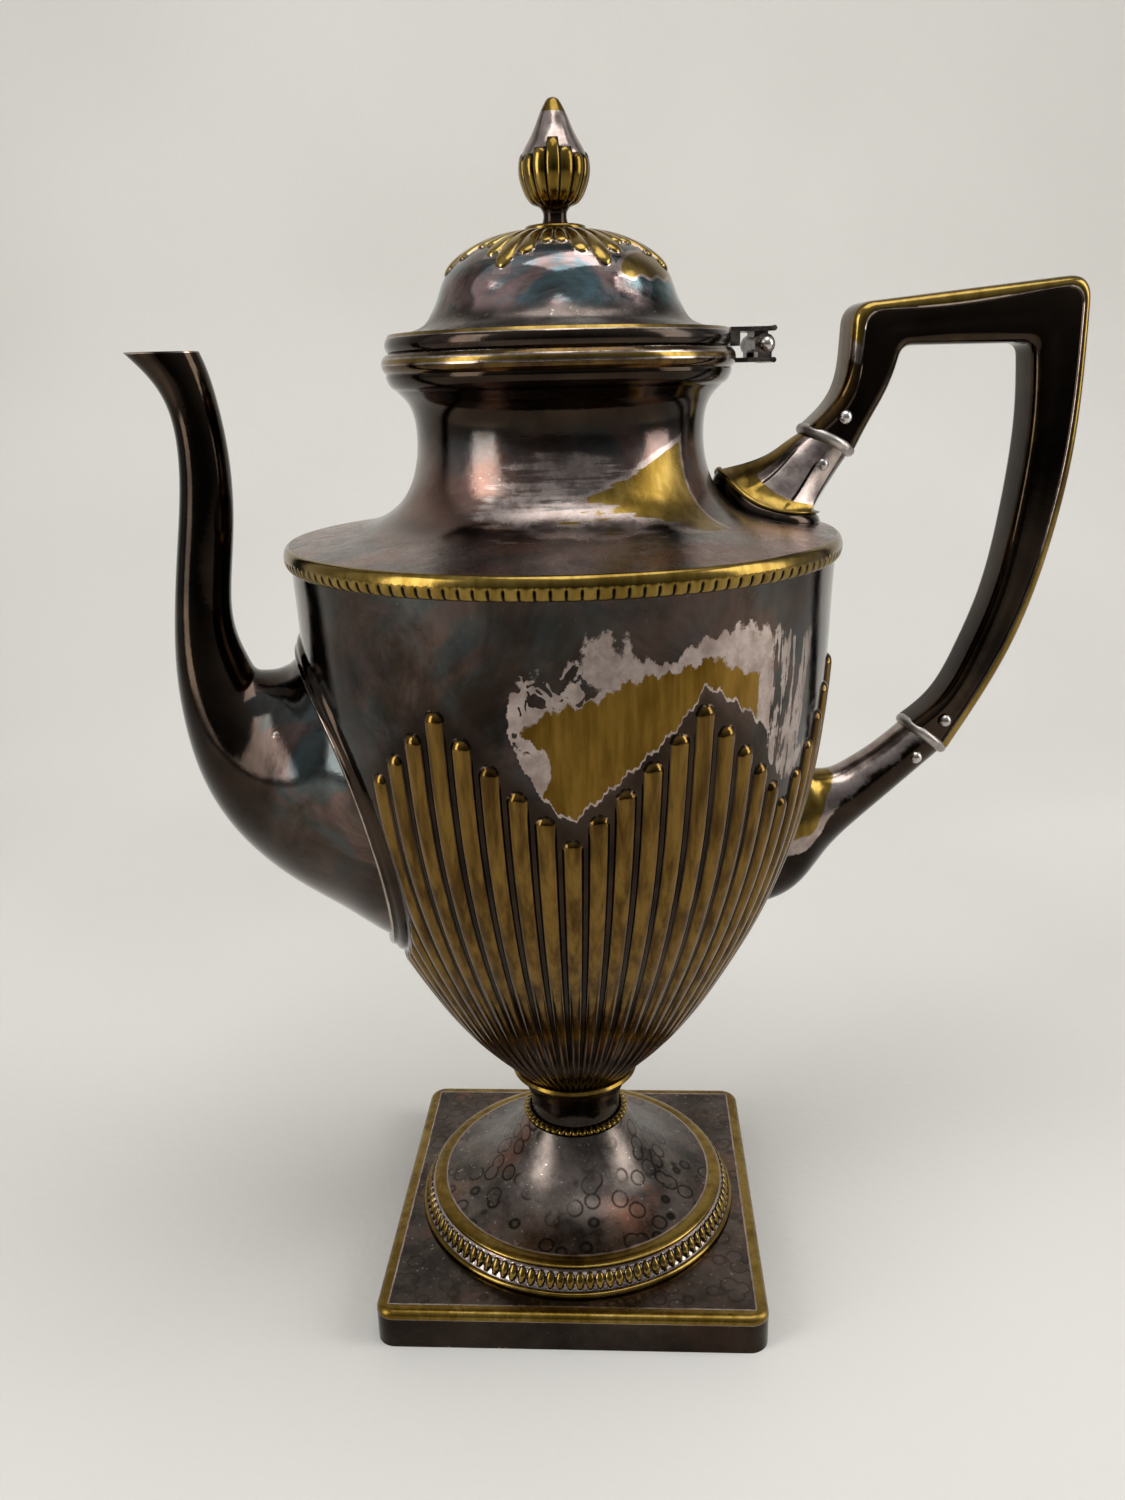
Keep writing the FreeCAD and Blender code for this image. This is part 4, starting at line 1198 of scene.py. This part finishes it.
class Shader:
    """Lays out the nodes of one material."""

    def __init__(self, name):
        self.material = bpy.data.materials.new(name)
        self.material.use_nodes = True
        self.tree = self.material.node_tree
        self.surface = self.tree.nodes["Principled BSDF"]
        self.place = self.add("TexCoord", {}).outputs["Object"]

    def put(self, value, socket):
        """Set a value on an input, or link another node's output to it."""
        if isinstance(value, bpy.types.NodeSocket):
            self.tree.links.new(value, socket)
        else:
            socket.default_value = value

    def add(self, kind, inputs, **settings):
        """A new node with its settings, and a value or another node's output on each input."""
        node = self.tree.nodes.new("ShaderNode" + kind)
        for name, value in settings.items():
            setattr(node, name, value)
        for name, value in inputs.items():
            self.put(value, node.inputs[name])
        return node

    def calc(self, operation, a, b=0.0):
        return self.add("Math", {0: a, 1: b}, operation=operation).outputs[0]

    def times(self, a, b):
        return self.calc("MULTIPLY", a, b)

    def plus(self, a, b):
        return self.calc("ADD", a, b)

    def minus(self, a, b):
        return self.calc("SUBTRACT", a, b)

    def spread(self, value, amount):
        """A noise value centred on 0 and scaled."""
        return self.times(self.minus(value, 0.5), amount)

    def field(self, name):
        return self.add("Attribute", {}, attribute_name=name).outputs["Fac"]

    def stretched(self, x, y, z):
        return self.add("Mapping", {"Scale": (x, y, z), "Vector": self.place}).outputs[0]

    def noise(self, scale, detail=4.0, roughness=0.55, distortion=0.0, place=None):
        inputs = {"Scale": scale, "Detail": detail, "Roughness": roughness, "Distortion": distortion}
        return self.add("TexNoise", {**inputs, "Vector": place or self.place}).outputs["Fac"]

    def cells(self, scale):
        return self.add("TexVoronoi", {"Scale": scale, "Vector": self.place}).outputs["Distance"]

    def fade(self, value, low, high, start=0.0, end=1.0):
        inputs = {"Value": value, "From Min": low, "From Max": high, "To Min": start, "To Max": end}
        return self.add("MapRange", inputs, interpolation_type="SMOOTHSTEP").outputs["Result"]

    def mix(self, share, a, b):
        """Blend of two colours, each three numbers or another node's output."""
        a, b = (c if isinstance(c, bpy.types.NodeSocket) else (*c, 1.0) for c in (a, b))
        return self.add("Mix", {0: share, 6: a, 7: b}, data_type="RGBA").outputs[2]

    def bump(self, height, strength, distance):
        inputs = {"Strength": strength, "Distance": distance, "Height": height}
        self.put(self.add("Bump", inputs).outputs["Normal"], self.surface.inputs["Normal"])

    def finish(self, colour, roughness, metallic):
        for name, value in (("Base Color", colour), ("Roughness", roughness), ("Metallic", metallic)):
            self.put(value, self.surface.inputs[name])
        return self.material


def dusty(s, colour, fine, tones, copper_from):
    """A colour under mottled dust with copper stains and white specks, and the share that the dust covers."""
    mottle = s.mix(s.fade(s.noise(70.0, 7.0, 0.7), 0.32, 0.7), *tones)
    stains = s.times(s.fade(s.noise(45.0, 4.0), copper_from, copper_from + 0.2), 0.6)
    mottle = s.mix(stains, mottle, copper)
    mottle = s.mix(s.fade(s.noise(900.0, 2.0), 0.66, 0.74, 0.0, 0.7), mottle, speck_white)
    dust = s.times(s.field("dust"), s.fade(fine, 0.1, 0.6, 0.55, 1.0))
    return s.mix(dust, colour, mottle), dust


def ring_stained(s, colour):
    """A colour with dark rings on it, in groups, where there is dust."""
    from_ring = s.calc("ABSOLUTE", s.minus(s.cells(190.0), 0.42))
    rings = s.times(s.fade(from_ring, 0.0, 0.1, 1.0, 0.0), s.fade(s.noise(38.0, 2.0), 0.38, 0.5))
    return s.mix(s.times(s.times(rings, s.field("dust")), 0.9), colour, tarnish_deep)


def bloomed(s, colour):
    """A colour under clouds of teal and rose."""
    tint = s.mix(s.fade(s.noise(55.0, 3.0, 0.5, 1.2), 0.42, 0.58), bloom_teal, bloom_rose)
    bloom = s.times(s.field("bloom"), s.fade(s.noise(36.0, 6.0, 0.7, 0.8), 0.34, 0.66))
    return s.mix(bloom, colour, tint)


def ragged_wear(s, edge, fine, upright, islands):
    """The wear with a ragged edge, in upright streaks where streak is positive and level ones where it is
    negative, and with islands of tarnish left in its silver."""
    level = s.noise(60.0, 5.0, 0.6, place=s.stretched(0.7, 0.7, 9.0))
    streak = s.field("streak")
    worn = s.plus(s.plus(s.field("wear_and_reflection"), edge), s.spread(fine, 0.3))
    worn = s.plus(worn, s.times(s.calc("MAXIMUM", streak, 0.0), s.spread(upright, 4.0)))
    worn = s.minus(worn, s.times(s.calc("MINIMUM", streak, 0.0), s.spread(level, 3.0)))
    if islands:
        hole = s.times(s.fade(s.noise(210.0, 3.0, 0.55, 0.8), 0.5, 0.56, 0.0, 0.7), s.field("pits"))
        worn = s.minus(worn, s.times(hole, s.fade(worn, 0.95, 1.1, 1.0, 0.0)))
    return worn


def plated(name, ragged_depth, soft=0.08, rings=False, islands=False,
           brass_tones=bright_brass, dust_tones=dark_dust, copper_from=0.52):
    """Silver plate: dark with tarnish, worn to pale silver and then to brass where it is handled; the same
    pale silver also shows the painted reflection on the spout's throat.
    """
    s = Shader(name)
    cloud = s.noise(28.0, 5.0, 0.6, 0.4)
    fine = s.noise(240.0, 6.0, 0.65)
    ragged = s.noise(130.0, 7.0, 0.72, 0.6)
    upright = s.noise(60.0, 5.0, 0.6, place=s.stretched(6.0, 6.0, 0.6))
    tarnish = s.mix(s.fade(cloud, 0.3, 0.72), tarnish_deep, tarnish_brown)
    colour, dust = dusty(s, tarnish, fine, dust_tones, copper_from)
    if rings:
        colour = ring_stained(s, colour)
    colour = bloomed(s, colour)
    crest_colour = s.mix(s.fade(upright, 0.3, 0.7), crest_deep, crest_light)
    crest = s.fade(s.plus(s.field("crest"), s.spread(fine, 0.5)), 0.25, 0.75)
    colour = s.mix(crest, colour, crest_colour)
    worn = ragged_wear(s, s.spread(ragged, ragged_depth), fine, upright, islands)
    silver = s.mix(s.fade(fine, 0.3, 0.7), silver_warm, silver_pale)
    colour = s.mix(s.fade(worn, silver_start, silver_start + soft), colour, silver)
    brass = s.mix(s.fade(s.plus(cloud, s.spread(upright, 0.8)), 0.3, 0.7), *brass_tones)
    colour = s.mix(s.fade(worn, 0.92, 1.02), colour, brass)
    colour = s.mix(s.fade(s.field("grime"), 0.3, 0.85), colour, tarnish_deep)
    roughness = s.plus(s.fade(fine, 0.2, 0.8, 0.05, 0.14), s.times(dust, 0.22))
    roughness = s.plus(roughness, s.times(s.fade(worn, 0.4, 0.7), 0.08))
    s.bump(s.plus(ragged, fine), 0.06, 0.0006)
    return s.finish(colour, roughness, 1.0)


def plain_metal(name, tones, roughness, metallic=1.0):
    """Small fittings: one metal with stains and fine scratches."""
    s = Shader(name)
    stain = s.noise(160.0, 6.0, 0.65, 0.5)
    scratch = s.noise(300.0, 4.0, place=s.stretched(1.0, 8.0, 1.0))
    colour = s.mix(s.fade(stain, 0.35, 0.68), *tones)
    s.bump(s.plus(stain, scratch), 0.08, 0.0004)
    return s.finish(colour, s.fade(scratch, 0.2, 0.8, roughness, roughness + 0.14), metallic)


def dress_cad_nodes():
    """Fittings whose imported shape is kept."""
    nickel = plain_metal("nickel", nickel_tones, 0.18)
    hinge = plain_metal("hinge_silver", hinge_tones, 0.2)
    brass = plain_metal("screw_brass", screw_tones, 0.25)
    plans = {
        "upper_pins": nickel, "lower_pins": nickel,
        "lid_hinge_leaf": hinge, "body_hinge_leaf": hinge, "hinge_pin": nickel, "lid_bezel": hinge,
        "finial_screw": brass, "finial_nut": brass,
    }
    for node, material in plans.items():
        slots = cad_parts[node].data.materials
        slots.clear()
        slots.append(material)


# Stage, light and camera

def make_stage():
    """Pale floor that curves up into a wall behind the pot."""
    profile = [(floor_front, 0.0), (wall_place - wall_bend, 0.0)]
    profile += arc_points((wall_place - wall_bend, wall_bend), wall_bend, math.degrees(0.1) - 90, 0, 16)
    profile += [(wall_place, wall_height)]
    count = len(profile)
    points = [(side, y, z) for side in (-floor_side, floor_side) for y, z in profile]
    faces = [(k, count + k, count + k + 1, k + 1) for k in range(count - 1)]
    mesh = bpy.data.meshes.new("floor")
    mesh.from_pydata(points, [], faces)
    mesh.shade_smooth()
    s = Shader("pale_plaster")
    s.bump(s.noise(260.0, 3.0), 0.15, 0.0012)
    colour = s.mix(s.fade(s.noise(3.0, 2.0), 0.3, 0.7), plaster_deep, plaster_light)
    mesh.materials.append(s.finish(colour, 0.85, 0.0))
    floor = bpy.data.objects.new("floor", mesh)
    bpy.context.scene.collection.objects.link(floor)


def add_lamp(name, place, aim, size, power, colour):
    """Rectangular soft light aimed at a place."""
    lamp = bpy.data.lights.new(name, "AREA")
    lamp.shape = "RECTANGLE"
    lamp.size = size[0]
    lamp.size_y = size[1]
    lamp.energy = power
    lamp.color = colour
    light = bpy.data.objects.new(name, lamp)
    light.location = place
    light.rotation_euler = (Vector(aim) - Vector(place)).to_track_quat("-Z", "Y").to_euler()
    bpy.context.scene.collection.objects.link(light)


def make_light():
    """Window-like softboxes at both sides and above, and a sky that is dimmer towards the front."""
    for name, place, size, colour in studio_lamps:
        add_lamp(name, place, lamp_target, size, lamp_power, colour)
    world = bpy.data.worlds.new("studio")
    bpy.context.scene.world = world
    world.use_nodes = True
    tree = world.node_tree
    place = tree.nodes.new("ShaderNodeTexCoord")
    split = tree.nodes.new("ShaderNodeSeparateXYZ")
    lift = tree.nodes.new("ShaderNodeMath")
    lift.operation = "ADD"
    ramp = tree.nodes.new("ShaderNodeMapRange")
    for socket, value in sky_ramp.items():
        ramp.inputs[socket].default_value = value
    tree.links.new(place.outputs["Generated"], split.inputs[0])
    tree.links.new(split.outputs["Y"], lift.inputs[0])
    tree.links.new(split.outputs["Z"], lift.inputs[1])
    tree.links.new(lift.outputs[0], ramp.inputs["Value"])
    sky = tree.nodes["Background"]
    tree.links.new(ramp.outputs["Result"], sky.inputs["Strength"])
    sky.inputs["Color"].default_value = sky_colour


def make_camera():
    """Camera at the photograph's place."""
    yaw, pitch, roll = (math.radians(a) for a in (camera_yaw, camera_pitch, camera_roll))
    forward = Vector((math.sin(yaw) * math.cos(pitch), math.cos(yaw) * math.cos(pitch), -math.sin(pitch)))
    level_right = Vector((math.cos(yaw), -math.sin(yaw), 0))
    level_down = forward.cross(level_right)
    right = level_right * math.cos(roll) + level_down * math.sin(roll)
    down = level_down * math.cos(roll) - level_right * math.sin(roll)
    data = bpy.data.cameras.new("camera")
    data.lens = camera_lens
    data.sensor_width = camera_sensor
    camera = bpy.data.objects.new("camera", data)
    turn = Matrix((right, -down, -forward)).transposed().to_4x4()
    camera.matrix_world = Matrix.Translation(Vector(camera_place) * MM) @ turn
    bpy.context.scene.collection.objects.link(camera)
    bpy.context.scene.camera = camera


def main():
    """Make the materials, then each piece, then the stage."""
    plate = plated("tarnished_plate", 0.8, islands=True, brass_tones=brown_brass)
    neck_plate = plated("brushed_plate", 0.5, soft=0.3, dust_tones=grey_dust, copper_from=0.42)
    lid_plate = plated("bloomed_plate", 0.5, brass_tones=petal_brass)
    grey = plain_metal("grey_fibre", fibre_tones, 0.28, 0.85)
    fittings = plated("worn_fittings", 0.35)
    foot_plate = plated("stained_plate", 0.35, rings=True)
    upper = joint(upper_joint, upper_joint_slope)
    lower = joint(lower_joint, lower_joint_slope)
    make_plinth(foot_plate)
    make_foot_ring(fittings)
    make_foot_dome(foot_plate)
    make_stem(fittings)
    make_stem_ring(fittings)
    make_body_cup(fittings)
    spout_ring = make_spout(plate)
    make_spout_frame(fittings, spout_ring)
    socket = lower_socket_grid(lower, 96, 60)
    make_lower_socket(fittings, socket)
    make_body(plate, spout_ring, socket[-1])
    make_shoulder_band(fittings)
    make_shoulder_neck(neck_plate)
    make_mouth_rim(fittings)
    make_lid_flange(fittings)
    make_lid_dome(lid_plate)
    make_finial_collar(fittings)
    make_finial(fittings)
    make_upper_socket(fittings, upper)
    make_handle(fittings, upper, lower)
    make_insulator("upper_insulator", *upper, grey)
    make_insulator("lower_insulator", *lower, grey)
    dress_cad_nodes()
    make_stage()
    make_light()
    make_camera()
    bpy.context.scene.view_settings.view_transform = "Standard"


main()
